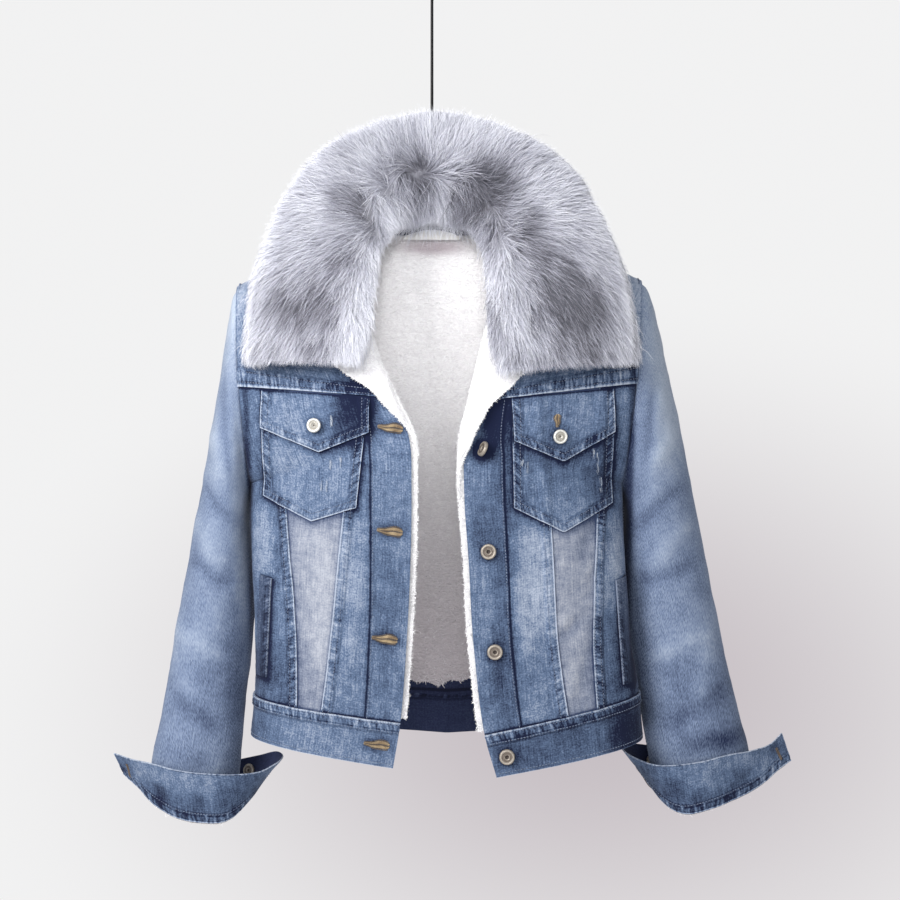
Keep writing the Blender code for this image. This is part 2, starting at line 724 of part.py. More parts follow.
def make_collar():
    """The fur's plain solid and the denim under-collar behind it."""
    ring = len(FUR_SECTION)
    bm = grid_mesh(lambda s, t: fur_point(s, t * ring), 26, ring, False, closed=True)
    ends = [e for e in bm.edges if e.is_boundary]
    bmesh.ops.holes_fill(bm, edges=ends, sides=ring)
    bmesh.ops.recalc_face_normals(bm, faces=bm.faces)
    fur = mesh_object(bm, "fur_collar", "fur")

    middle, size = np.array(NECK_ROOM) * MM
    bpy.ops.mesh.primitive_cube_add(size=1, location=middle)
    cutter_box = bpy.context.object
    cutter_box.scale = size
    bpy.ops.mesh.primitive_cylinder_add(vertices=16, radius=STEM_HOLE_R, depth=0.3, location=(0, 0, -0.2))
    cutter_stem = bpy.context.object
    for cutter, name in ((cutter_box, "cut_neck_room"), (cutter_stem, "cut_stem_hole")):
        cutter.name = name
        cutter.hide_render = True
        cutter.display_type = "WIRE"
        for old in list(cutter.users_collection):
            old.objects.unlink(cutter)
        CUTTERS.objects.link(cutter)
        cut = fur.modifiers.new(name, "BOOLEAN")
        cut.operation = "DIFFERENCE"
        cut.solver = "EXACT"
        cut.object = cutter

    last = len(COLLAR) - 1

    def under(s, t):
        station = (0.01 + 0.98 * s) * last
        from_end = min(station, last - station)
        foot = float(np.interp(from_end, *zip(*UNDER_COLLAR_FOOT)))
        place, forward, _ = collar_hide(station / last, foot + (UNDER_COLLAR_TOP - foot) * t)
        if t == 0 and from_end >= NECK_STATIONS[0]:
            return neck_seam(station)
        return place - forward * (UNDER_COLLAR_GAP + DENIM)

    sheet("under_collar", under, 26, 3, False, DENIM, "denim")


def neck_seam(station):
    """A point just above the back's neck seam, at a station of the collar."""
    low, high = NECK_STATIONS
    place = (station - low) / (high - low) * 2 - 1
    side = "right" if place < 0 else "left"
    neck_x = CENTRE_BACK[-1][0]
    neck_share = abs(FRONT_EDGE[side][-1][0] - neck_x) / abs(SLEEVE[side][0][0] - neck_x)
    point = back_top(side, abs(place) * neck_share)
    return point + np.array([0, 0, NECK_SEAM_RISE])


def fur_point(along, place):
    """A point on the fur's outline: along the collar, and place counted in rows of its section."""
    count = len(FUR_SECTION)
    low = int(place) % count
    high = (low + 1) % count
    share = place - int(place)
    across = FUR_SECTION[low][0] + (FUR_SECTION[high][0] - FUR_SECTION[low][0]) * share
    rise = FUR_SECTION[low][1] + (FUR_SECTION[high][1] - FUR_SECTION[low][1]) * share
    hide, forward, depth = collar_hide(along, across)
    return hide + forward * depth * rise


def make_label():
    """The blank neck label: a shallow arch, sewn to the lining below the collar."""
    def point(s, t):
        x = LABEL_CENTRE_X + (2 * s - 1) * LABEL_HALF
        arch = LABEL_HEIGHT * (1 - (2 * s - 1) ** 2 * 0.75)
        return (x, LABEL_Y, LABEL_FOOT_Z + arch * t)

    sheet("neck_label", point, 8, 1, False, LABEL_WALL, "label")


def make_front_buttons():
    """Four buttons down the left placket and onto the waistband."""
    for number, (x, z) in enumerate(FRONT_BUTTONS, 1):
        centre, normal = on_front("left", x, z, WAISTBAND_WALL + BUTTON_GAP)
        disc("front_button_%d" % number, centre, normal, FRONT_BUTTON_R, FRONT_BUTTON_H, "brass")


def make_hanger():
    """The hook with its stem, and the arms inside the shoulders."""
    centre_r = HOOK_INNER_R + WIRE_R
    hook = []
    for degrees in np.linspace(HOOK_TIP_DEG, HOOK_END_DEG, 20):
        turn = math.radians(degrees)
        hook.append((centre_r * math.cos(turn), 0.0, -HOOK_INNER_R + centre_r * math.sin(turn)))
    leave = hook[-1]
    for share in (0.35, 0.7, 1.0):
        hook.append((leave[0] * (1 - share) ** 1.6, 0.0, leave[2] - 15 * MM * share))
    hook.append((0.0, 0.0, -0.17))
    hook.append((0.0, 0.0, STEM_BOTTOM_Z))
    wire("hanger_hook", hook, WIRE_R, "black_metal")
    arms = []
    rows = np.array(HANGER_ARMS, float) * MM
    for at in np.linspace(0, len(rows) - 1, 25):
        arms.append(smooth(range(len(rows)), rows, at))
    wire("hanger_arms", arms, ARM_R, "black_metal")


for existing in list(bpy.data.objects):
    bpy.data.objects.remove(existing, do_unlink=True)
JACKET = bpy.data.collections.new("sherpa_lined_denim_jacket")
CUTTERS = bpy.data.collections.new("cutters")
bpy.context.scene.collection.children.link(JACKET)
bpy.context.scene.collection.children.link(CUTTERS)

make_hanger()
make_fronts()
make_back()
make_waistband()
make_fleece()
make_pockets()
make_sleeves()
make_collar()
make_label()
make_front_buttons()
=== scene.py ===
"""The looks of a sherpa-lined denim jacket with a wide fur collar, hanging open on a plain wire hanger.

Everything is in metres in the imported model's frame: the origin is where the hanger's hook rests on its
rail, +Z is up, the jacket's front faces -Y and the wearer's left side is at +X. The cloth's forms come
from the same short tables as the solids (millimetres), so each piece lies where its solid does. Forms
are read at (u, v): u runs round the body from the centre line (0) to the side (1), v from the hem (0)
up to the shoulder (1). A piece's form is its inner face, and its wall grows outwards.
"""

from __future__ import annotations

import logging
import math
from dataclasses import dataclass, field
from enum import Enum
from typing import Callable, Iterable, Sequence

import bmesh
import bpy
import numpy as np
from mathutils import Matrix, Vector


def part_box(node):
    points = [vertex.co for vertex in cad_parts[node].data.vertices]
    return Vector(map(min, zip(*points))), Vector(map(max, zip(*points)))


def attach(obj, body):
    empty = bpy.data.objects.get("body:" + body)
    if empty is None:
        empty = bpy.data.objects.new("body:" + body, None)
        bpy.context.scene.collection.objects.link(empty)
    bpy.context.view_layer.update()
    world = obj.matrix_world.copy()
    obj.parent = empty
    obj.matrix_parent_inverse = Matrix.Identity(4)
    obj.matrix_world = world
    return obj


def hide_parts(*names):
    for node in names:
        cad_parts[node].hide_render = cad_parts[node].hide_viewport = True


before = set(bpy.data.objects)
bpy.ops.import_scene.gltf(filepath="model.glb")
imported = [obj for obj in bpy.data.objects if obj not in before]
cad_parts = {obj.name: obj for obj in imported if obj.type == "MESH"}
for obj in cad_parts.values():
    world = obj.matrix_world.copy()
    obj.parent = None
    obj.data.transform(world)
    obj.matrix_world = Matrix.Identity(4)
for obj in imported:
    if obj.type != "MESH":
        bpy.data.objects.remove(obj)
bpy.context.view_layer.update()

LOG = logging.getLogger("jacket")
MM = 0.001
Array = np.ndarray
Colour = tuple[float, float, float]
Material, Mesh, Object, Socket = bpy.types.Material, bpy.types.Mesh, bpy.types.Object, bpy.types.NodeSocket
Finishes = dict[str, Material]
Rows = Sequence[Sequence[float]]
Curve = Callable[[Array], Array]
Height = Callable[[Array, Array], Array]
Place = Callable[[Array, Array], tuple[Array, Array]]


class Side(Enum):
    """The wearer's two sides."""

    RIGHT = "right"
    LEFT = "left"

    @property
    def sign(self) -> float:
        """The side's direction along X."""
        return -1.0 if self is Side.RIGHT else 1.0


class Seam(Enum):
    """How a panel's edge meets its neighbour."""

    OVER = 1    # on top of it, as a raised band with two rows of stitches
    UNDER = 2   # tucked under it
    BARE = 3    # a plain edge
    FLAT = 4    # on top of it, with one low row of stitches
    MEET = 5    # ends against a raised edge
    FOLD = 6    # a folded edge, worn pale


# Walls and sewing sizes, metres.
DENIM = 1.4 * MM
FLEECE = 4.0 * MM
WAISTBAND_WALL = 2.2 * MM
LAYER_GAP = 1.6 * MM
LINING_GAP = 2.6 * MM
LAP_RISE = 1.5 * MM
LAP_WIDTH = 10.5 * MM
STITCH_PITCH = 3.4 * MM
STITCH_LENGTH = 2.7 * MM
THREAD = 0.75 * MM
STITCH_ROWS = (2.2 * MM, 8.2 * MM)

# Levels of the body: v, exponent of the rounded section, and how far it is pulled straight.
LEVELS = {
    # name       v      round  straight
    "hem":      (0.00,  2.6,   0.00),
    "band":     (0.075, 2.6,   0.00),
    "hip":      (0.19,  2.6,   0.00),
    "waist":    (0.32,  2.6,   0.00),
    "pocket":   (0.44,  2.6,   0.08),
    "armpit":   (0.53,  2.5,   0.20),
    "yoke":     (0.64,  2.3,   0.50),
    "lapel":    (0.73,  2.2,   0.70),
    "collar":   (0.86,  2.0,   0.90),
    "neck":     (0.97,  2.0,   1.00),
    "shoulder": (1.00,  2.0,   1.00),
}

# The open front edge, then the lapel's fold line up to the neck (x, y, z), a row for each level.
FRONT_EDGE = {
    Side.RIGHT: [
        (-41, -86, -909), (-33, -87, -860), (-26, -87, -770), (-22, -86, -684), (-21, -83, -608),
        (-23, -80, -556), (-42, -75, -508), (-63, -66, -458), (-78, -44, -385), (-90, -14, -316),
        (-92, 4, -304),
    ],
    Side.LEFT: [
        (71, -86, -919), (58, -87, -873), (46, -87, -776), (41, -86, -689), (36, -83, -614),
        (36, -80, -560), (45, -75, -513), (58, -66, -458), (76, -44, -385), (93, -14, -316),
        (95, 4, -304),
    ],
}

# The middle of the back from the hem to the neck seam (x, y, z), a row for each level.
CENTRE_BACK = [
    (17, 64, -901), (17, 66, -851), (16, 68, -779), (13, 68, -702), (11, 66, -622), (9, 63, -560),
    (7, 58, -490), (6, 52, -432), (5, 42, -372), (5, 27, -322), (5, 21, -308),
]

# The side seam from the hem to the armpit (x, y, z), a row for each of the six lower levels.
SIDE_SEAM = {
    Side.RIGHT: [
        (-202, -12, -884), (-198, -14, -839), (-198, -14, -768), (-202, -10, -690), (-205, -2, -640),
        (-206, 6, -602),
    ],
    Side.LEFT: [
        (236, -12, -888), (232, -14, -837), (223, -14, -778), (217, -10, -692), (216, -2, -640),
        (216, 6, -602),
    ],
}

# Where each upper level meets the armhole, in degrees round it from the armpit to the shoulder.
# Where each of the six upper levels meets the armhole, in degrees round it from the armpit to the shoulder.
ARMHOLE_DEG = (0, 88, 112, 142, 168, 180)

# Sleeves: outer x and z, inner x and z, y of the middle, half depth, from the armhole down.
SLEEVE = {
    Side.RIGHT: [
        (-222, -379, -206, -602, 6, 46),
        (-230, -412, -210, -619, 10, 53),
        (-239, -464, -211, -640, 15, 58),
        (-252, -542, -210, -672, 20, 60),
        (-267, -623, -208, -712, 22, 57),
        (-282, -704, -208, -752, 22, 53),
        (-296, -785, -211, -802, 20, 49),
        (-308, -859, -217, -863, 15, 44),
        (-320, -927, -222, -929, 8, 36),
        (-309, -962, -228, -972, 6, 24),
    ],
    Side.LEFT: [
        (239, -372, 216, -602, 6, 46),
        (252, -400, 220, -619, 10, 53),
        (266, -459, 221, -640, 15, 58),
        (284, -536, 220, -672, 20, 60),
        (301, -623, 221, -712, 22, 57),
        (317, -704, 224, -752, 22, 53),
        (333, -785, 233, -802, 20, 49),
        (348, -853, 241, -857, 15, 44),
        (363, -916, 251, -920, 8, 36),
        (353, -951, 262, -961, 6, 24),
    ],
}

# Turned-up cuffs: rim (x, y, z) and fold (x, y, z), from the buttonhole end round the front and the
# inner corner to the button end behind the sleeve.
CUFF = {
    Side.RIGHT: [
        ((-365, 8, -913), (-354, 10, -937)),
        ((-344, -6, -916), (-334, 0, -951)),
        ((-317, -24, -917), (-315, -12, -966)),
        ((-285, -38, -922), (-287, -24, -978)),
        ((-251, -46, -924), (-259, -31, -982)),
        ((-217, -42, -926), (-231, -28, -981)),
        ((-190, -26, -925), (-209, -16, -963)),
        ((-172, 2, -917), (-193, 6, -940)),
        ((-180, 22, -914), (-203, 22, -956)),
        ((-203, 38, -922), (-224, 36, -973)),
        ((-230, 50, -930), (-245, 44, -982)),
    ],
    Side.LEFT: [
        ((401, 8, -890), (412, 10, -922)),
        ((384, -6, -900), (395, 0, -930)),
        ((360, -24, -903), (372, -12, -945)),
        ((330, -38, -905), (344, -24, -956)),
        ((298, -46, -911), (314, -31, -966)),
        ((263, -42, -916), (285, -28, -973)),
        ((241, -26, -916), (263, -16, -963)),
        ((219, 2, -908), (243, 6, -937)),
        ((226, 22, -906), (252, 22, -953)),
        ((243, 38, -909), (270, 36, -968)),
        ((268, 50, -915), (291, 44, -977)),
    ],
}
# The collar's hide, from its right end round the neck to its left end: inner edge (x, y, z), outer
# edge (x, y, z), how far the hide bows forward between them, and the depth of the fur on it.
COLLAR = [
    ((-78, -88, -474), (-207, -60, -472), 6, 24),
    ((-66, -82, -440), (-206, -58, -438), 6, 28),
    ((-60, -66, -394), (-204, -46, -387), 8, 31),
    ((-54, -46, -352), (-189, -26, -333), 10, 33),
    ((-46, -22, -330), (-159, -4, -262), 8, 36),
    ((-30, 4, -312), (-104, 14, -203), 4, 40),
    ((4, 14, -303), (0, 22, -172), 0, 44),
    ((38, 4, -314), (99, 14, -198), 4, 40),
    ((51, -22, -332), (160, -4, -244), 8, 36),
    ((56, -46, -356), (200, -26, -314), 10, 33),
    ((58, -66, -400), (222, -46, -381), 8, 31),
    ((60, -82, -440), (230, -58, -438), 6, 28),
    ((74, -91, -485), (227, -60, -470), 6, 24),
]
# Section of the fur: place across the hide, and height as a share of the fur's depth.
FUR_SECTION = [
    (0.00, 0.00), (0.25, 0.00), (0.50, 0.00), (0.75, 0.00), (1.00, 0.00), (1.06, 0.35), (0.99, 0.75),
    (0.78, 0.98), (0.50, 1.04), (0.22, 1.00), (0.02, 0.82), (-0.08, 0.42),
]
# Seams down each front, as shares of the way round the front: at the waistband, at the pocket's
# foot and at the yoke.
FRONT_SEAMS = {
    Side.RIGHT: {"placket": (0.19, 0.20, 0.20), "inner": (0.43, 0.33, 0.31), "outer": (0.565, 0.63, 0.67)},
    Side.LEFT: {"placket": (0.19, 0.20, 0.20), "inner": (0.435, 0.43, 0.42), "outer": (0.59, 0.69, 0.75)},
}
# The seam down each half of the back, in the same way.
BACK_SEAM = (0.36, 0.44, 0.52)

# Flaps and pockets on each front (x, z): top inner, top outer, bottom inner, tip, bottom outer.
CHEST_POCKET = {
    Side.RIGHT: [(-69, -516), (-187, -513), (-81, -628), (-130, -643), (-186, -616)],
    Side.LEFT: [(88, -521), (201, -516), (90, -628), (144, -655), (200, -624)],
}
POCKET_FLAP = {
    Side.RIGHT: [(-67, -507), (-187, -499), (-67, -546), (-122, -567), (-187, -540)],
    Side.LEFT: [(88, -508), (201, -497), (90, -555), (144, -577), (201, -544)],
}
SIDE_WELT = {
    Side.RIGHT: [(-174, -706), (-187, -703), (-180, -815), (-186, -815), (-193, -814)],
    Side.LEFT: [(202, -709), (215, -706), (210, -823), (216, -823), (223, -821)],
}

# Buttons on the left placket (x, z), and on each flap.
FRONT_BUTTONS = [(57, -565), (62, -675), (69, -783), (82, -896)]
POCKET_BUTTONS = {Side.RIGHT: (-126, -538), Side.LEFT: (139, -550)}
# The rolled lapel: width of the turned fleece as a share of the front, at levels v from the break up.
LAPEL_WIDTH = {
    Side.RIGHT: [(0.500, -0.0262), (0.540, -0.018), (0.585, 0.010), (0.62, 0.06), (0.655, 0.13), (0.68, 0.25),
                 (0.72, 0.34), (0.78, 0.40)],
    Side.LEFT: [(0.435, -0.0262), (0.485, -0.018), (0.53, 0.022), (0.595, 0.07), (0.633, 0.12), (0.66, 0.215),
                (0.72, 0.33), (0.78, 0.40)],
}
LAPEL_ROLL = -0.028
LINING_EDGE = -0.027
# The top front button stands on its edge: how far out, and which way it leans.
TOP_BUTTON_OUT = 3.4 * MM
TOP_BUTTON_LEAN = (-2.5, 0.0, 0.95)
# Cuff buttons: station along the cuff, and share of the way from its fold to its rim.
CUFF_BUTTON_AT = (9.1, 0.72)
CUFF_LIP_SHARE = 0.16

# The under-collar: its gap behind the hide, its upper edge across the hide, the stations between
# which it is sewn to the neck seam, and where it starts across the hide before and after them.
UNDER_COLLAR_GAP = 1.6 * MM
UNDER_COLLAR_TOP = 0.92
NECK_STATIONS = (4.0, 8.0)
UNDER_COLLAR_FOOT = [(0, 0.06), (1, 0.10), (2, 0.16), (3, 0.30), (4, 0.42)]
NECK_LAP = (0.0, 3.6 * MM, -4.5 * MM)

# Neck label: half width at the foot, height, the level of its foot, and its place in depth.
LABEL_HALF = 33.0 * MM
LABEL_HEIGHT = 11.0 * MM
LABEL_FOOT_Z = -323.0 * MM
LABEL_Y = 11.0 * MM
LABEL_WALL = 0.8 * MM

# Buttons: radius and height.
FRONT_BUTTON = (8.5 * MM, 4.0 * MM)
POCKET_BUTTON = (8.0 * MM, 3.6 * MM)
CUFF_BUTTON = (7.5 * MM, 3.4 * MM)
BUTTON_GAP = 0.6 * MM

# Worked buttonholes on the right placket (x, z), and the one on the left pocket's flap.
BUTTONHOLES = [(-44, -541), (-44.5, -653), (-50, -769), (-58.6, -883)]
FLAP_BUTTONHOLE = (137, -533)


# Folds: a start (x, z), an end (x, z), the width and the depth of each (below 0 for a trough).
FRONT_CREASES = {
    Side.RIGHT: [
        (-196, -560, -150, -700, 9, -1.6), (-188, -650, -120, -760, 8, -1.2), (-70, -660, -90, -820, 9, 1.2),
        (-120, -660, -110, -840, 12, 1.1), (-160, -720, -120, -850, 8, -1.1), (-60, -700, -45, -840, 6, -0.8),
    ],
    Side.LEFT: [
        (206, -560, 160, -700, 9, -1.6), (200, -660, 140, -790, 8, -1.2), (90, -670, 104, -820, 9, 1.2),
        (138, -756, 174, -729, 5, 1.1), (124, -778, 164, -752, 5, -0.9), (150, -722, 180, -702, 5, -0.8),
        (150, -800, 150, -860, 12, 1.1), (190, -740, 150, -860, 8, -1.1), (70, -720, 75, -850, 6, -0.8),
    ],
}
# Washes and shades: the middle (x, z), the reach along x and z, the strength (below 0 where it is dark) and the
# lean.
# On the fronts, the dark rows under the lapels, by the side seams, under the flaps and round the top button are
# painted shade, and the other dark rows are unfaded indigo. The pale rows by the shoulders are painted light, and
# the other pale rows are faded cloth.
FRONT_WASHES_AND_SHADES = {
    Side.RIGHT: [
        (-118, -700, 40, 74, 0.37, 0.10), (-128, -655, 38, 30, 0.12), (-122, -800, 20, 45, 0.30),
        (-205, -680, 5, 240, -1.3), (-62, -720, 20, 160, -0.10), (-84, -520, 24, 38, -1.4),
        (-180, -825, 30, 50, -0.5), (-156, -556, 34, 66, 0.22), (-184, -672, 12, 45, 0.42),
        (-64, -470, 24, 50, -0.5), (-45, -725, 12, 60, -0.25), (-220, -400, 14, 70, 0.55),
        (-150, -620, 20, 20, 0.10),
    ],
    Side.LEFT: [
        (142, -705, 38, 76, 0.44, -0.05), (112, -700, 16, 60, 0.30), (154, -800, 20, 50, 0.16),
        (223, -680, 5, 240, -1.3), (80, -640, 14, 150, -0.5), (67, -524, 15, 40, -1.7),
        (203, -690, 10, 60, 0.45), (55, -645, 12, 40, -0.3), (54, -565, 13, 13, -1.2),
        (206, -825, 30, 60, -0.5), (186, -575, 20, 50, -0.6), (100, -585, 14, 50, -0.3),
        (140, -590, 50, 50, -0.25), (80, -820, 20, 60, -0.4), (234, -400, 14, 70, 0.7), (180, -680, 12, 90, 0.13),
    ],
}
BACK_CREASES = [
    (-150, -560, -90, -760, 12, -1.6), (150, -570, 95, -760, 12, -1.5), (-60, -640, -40, -850, 14, 1.3),
    (70, -650, 50, -850, 14, 1.3), (0, -600, 10, -840, 16, -1.1), (-180, -650, -150, -840, 9, -1.2),
    (190, -640, 160, -840, 9, -1.2), (-120, -450, 110, -445, 12, 0.9), (-150, -420, 0, -470, 10, -0.9),
]
BACK_WASHES = [
    (-90, -700, 60, 120, 0.25), (95, -690, 60, 120, 0.25), (0, -440, 120, 50, 0.2),
    (-200, -700, 26, 220, -0.35), (215, -700, 26, 220, -0.35), (0, -560, 150, 24, -0.15),
]
# On the band, the dark rows at both sides, by the sleeves, are painted shade.
BAND_WASHES_AND_SHADES = [
    (222, -880, 30, 70, -1.0), (160, -880, 70, 70, -0.45), (-200, -880, 22, 70, -0.6),
    (-110, -878, 60, 24, 0.12), (90, -880, 30, 60, -0.3),
]
SLEEVE_CREASES = {
    Side.RIGHT: [
        (-262, -600, -214, -655, 8, -2.2), (-276, -690, -222, -716, 9, -1.8), (-290, -770, -226, -800, 9, 1.8),
        (-238, -470, -222, -620, 7, -1.6), (-300, -830, -240, -880, 10, -1.6), (-270, -640, -232, -700, 11, 1.8),
        (-252, -540, -226, -600, 9, 1.4), (-310, -900, -250, -915, 9, -1.2), (-296, -740, -262, -900, 13, 1.2),
    ],
    Side.LEFT: [
        (284, -600, 226, -655, 8, -2.2), (300, -690, 234, -716, 9, -1.8), (316, -770, 240, -800, 9, 1.8),
        (254, -470, 232, -620, 7, -1.6), (334, -830, 262, -880, 10, -1.6), (290, -640, 244, -700, 11, 1.8),
        (270, -540, 236, -600, 9, 1.4), (346, -890, 272, -905, 9, -1.2), (320, -740, 290, -890, 13, 1.2),
    ],
}
# The dark row along each sleeve's inner edge is painted shade in the gap by the body. The pale rows at the
# shoulders, on the upper sleeves and along the right sleeve's inner strip are painted light.
SLEEVE_WASHES_AND_SHADES = {
    Side.RIGHT: [
        (-208, -640, 3, 250, -1.3), (-216, -650, 8, 120, 0.62), (-222, -405, 14, 34, 0.5),
        (-226, -820, 9, 120, -0.3), (-250, -520, 22, 150, 0.38, -0.09), (-300, -780, 12, 140, 0.2, -0.09),
        (-226, -430, 16, 60, 0.6), (-270, -850, 50, 60, -0.25),
    ],
    Side.LEFT: [
        (223, -640, 5, 250, -1.3), (238, -820, 9, 120, -0.4), (276, -500, 26, 110, 0.50, 0.10),
        (250, -430, 20, 70, 0.6), (258, -520, 16, 50, 0.3), (300, -850, 60, 70, -0.35), (332, -890, 40, 12, -0.6),
    ],
}
CUFF_CREASES = {
    Side.RIGHT: [(-330, -930, -300, -960, 6, -1.0), (-270, -930, -262, -975, 7, 1.0)],
    Side.LEFT: [(370, -915, 345, -945, 6, -1.0), (305, -920, 300, -960, 7, 1.0)],
}
CUFF_WASHES = {
    Side.RIGHT: [
        (-290, -965, 70, 18, -0.45), (-300, -930, 40, 12, 0.15), (-210, -930, 24, 60, -0.5),
        (-262, -960, 8, 14, -0.5), (-235, -950, 9, 16, -0.4), (-305, -955, 9, 14, -0.4), (-352, -926, 14, 14, -0.4),
    ],
    Side.LEFT: [
        (330, -955, 70, 18, -0.45), (330, -915, 50, 12, 0.1), (245, -930, 24, 60, -0.5),
        (300, -950, 8, 14, -0.5), (345, -935, 9, 14, -0.4), (275, -945, 9, 16, -0.4), (392, -905, 16, 10, -0.6),
    ],
}
# Painted shade on the back lining: darker towards the bottom, and a painted shadow under the label.
LINING_SHADES = [(0, -900, 300, 245, -0.75), (0, -330, 40, 9, -1.1)]
# Dark and pale places in the fur: its own streaks and parting, and painted shade on the right's inner rim and along
# the lower edges.
FUR_SHADES = [
    (-19, -262, 17, 26, -0.60), (-86, -292, 22, 20, -0.48), (-128, -396, 40, 36, -0.56), (-80, -330, 14, 30, -0.12),
    (56, -276, 28, 30, -0.80), (90, -324, 27, 25, -0.42), (108, -354, 18, 18, -0.08), (124, -368, 32, 30, -0.48),
    (152, -406, 42, 40, -0.80), (16, -215, 60, 26, 0.08), (-118, -285, 26, 20, 0.10),
    (60, -455, 60, 18, -0.22), (150, -460, 60, 18, -0.36), (-130, -455, 60, 20, -0.22),
    (-60, -318, 20, 16, -0.35), (-92, -345, 22, 20, -0.25), (10, -290, 40, 10, -0.2),
    (54, -345, 16, 50, -0.55), (66, -430, 18, 50, -0.50), (-54, -370, 12, 60, 0.2), (34, -268, 22, 18, -0.3),
]
# Frayed threads on the pockets and flaps: x, z, spread across and down.
FRAYS = {
    Side.RIGHT: [(-108, -532, 1, 5), (-109, -578, 1, 5), (-98, -576, 1, 5), (-119, -602, 1, 5), (-113, -604, 1, 5)],
    Side.LEFT: [(181, -578, 1, 12), (184, -600, 1, 9), (177, -566, 1, 4), (103, -582, 1.5, 6), (98, -578, 2, 2)],
}


# ---- Reading tables

def smooth(levels: Sequence[float], values: Sequence, at: Array | float) -> Array:
    """Reads a table on a smooth curve through its rows.

    Args:
        levels: the level of each row, rising.
        values: the rows, one number or several each.
        at: the levels to read, one or many.

    Returns:
        A value, or a row of values, for each level in at.
    """
    knots, rows, where = (np.asarray(table, float) for table in (levels, values, at))
    single = rows.ndim == 1
    rows = rows.reshape(len(knots), -1)
    steps = np.diff(knots)
    slopes = np.diff(rows, axis=0) / steps[:, None]
    tangents = np.empty_like(rows)
    tangents[0], tangents[-1] = slopes[0], slopes[-1]
    weight = (steps[1:] / (steps[:-1] + steps[1:]))[:, None]
    tangents[1:-1] = weight * slopes[:-1] + (1 - weight) * slopes[1:]
    low = np.clip(np.searchsorted(knots, where) - 1, 0, len(steps) - 1)
    step = steps[low][..., None]
    free = (where[..., None] - knots[low][..., None]) / step
    t = np.clip(free, 0.0, 1.0)
    leave, arrive = tangents[low], tangents[low + 1]
    curve = ((2 * t**3 - 3 * t**2 + 1) * rows[low] + (t**3 - 2 * t**2 + t) * step * leave
             + (3 * t**2 - 2 * t**3) * rows[low + 1] + (t**3 - t**2) * step * arrive)
    curve = curve + (free - t) * step * np.where(free < 0, leave, arrive)
    return curve[..., 0] if single else curve


def by_row(rows: Sequence, at: Array | float) -> Array:
    """Reads a table on a smooth curve, at places counted in its rows."""
    return smooth(range(len(rows)), rows, at)


def run_of(line: Array) -> Array:
    """Length run along a line of points, from its start."""
    return np.concatenate([[0.0], np.cumsum(np.linalg.norm(np.diff(line, axis=0), axis=1))])


def read(at: Array, run: Array, line: Array) -> Array:
    """Points of a line, at places of its run."""
    return np.stack([np.interp(at, run, column) for column in line.T], axis=1)


def ease(low: float, high: float, value: Array) -> Array:
    """A soft step from 0 at low to 1 at high."""
    t = np.clip((np.asarray(value, float) - low) / (high - low), 0.0, 1.0)
    return t * t * (3 - 2 * t)


def hump(value: Array, middle: float, reach: float) -> Array:
    """A soft hump, 1 at its middle and gone two reaches away."""
    return np.exp(-(((value - middle) / reach) ** 2))


def ripple(along: Array, wave: float, seed: int) -> Array:
    """An uneven wave between -1 and 1, as cloth makes along a seam.

    Args:
        along: places along the seam, metres.
        wave: the mean length of a wave, metres.
        seed: which uneven wave.
    """
    rng = np.random.default_rng(seed)
    return sum(np.sin(2 * math.pi * (along / (wave * ratio) + rng.uniform())) for ratio in (0.62, 1.0, 1.71)) / 3


def unit(vectors: Array) -> Array:
    """Each vector scaled to length 1."""
    return vectors / np.maximum(np.linalg.norm(vectors, axis=-1, keepdims=True), 1e-12)


# ---- Cloth forms

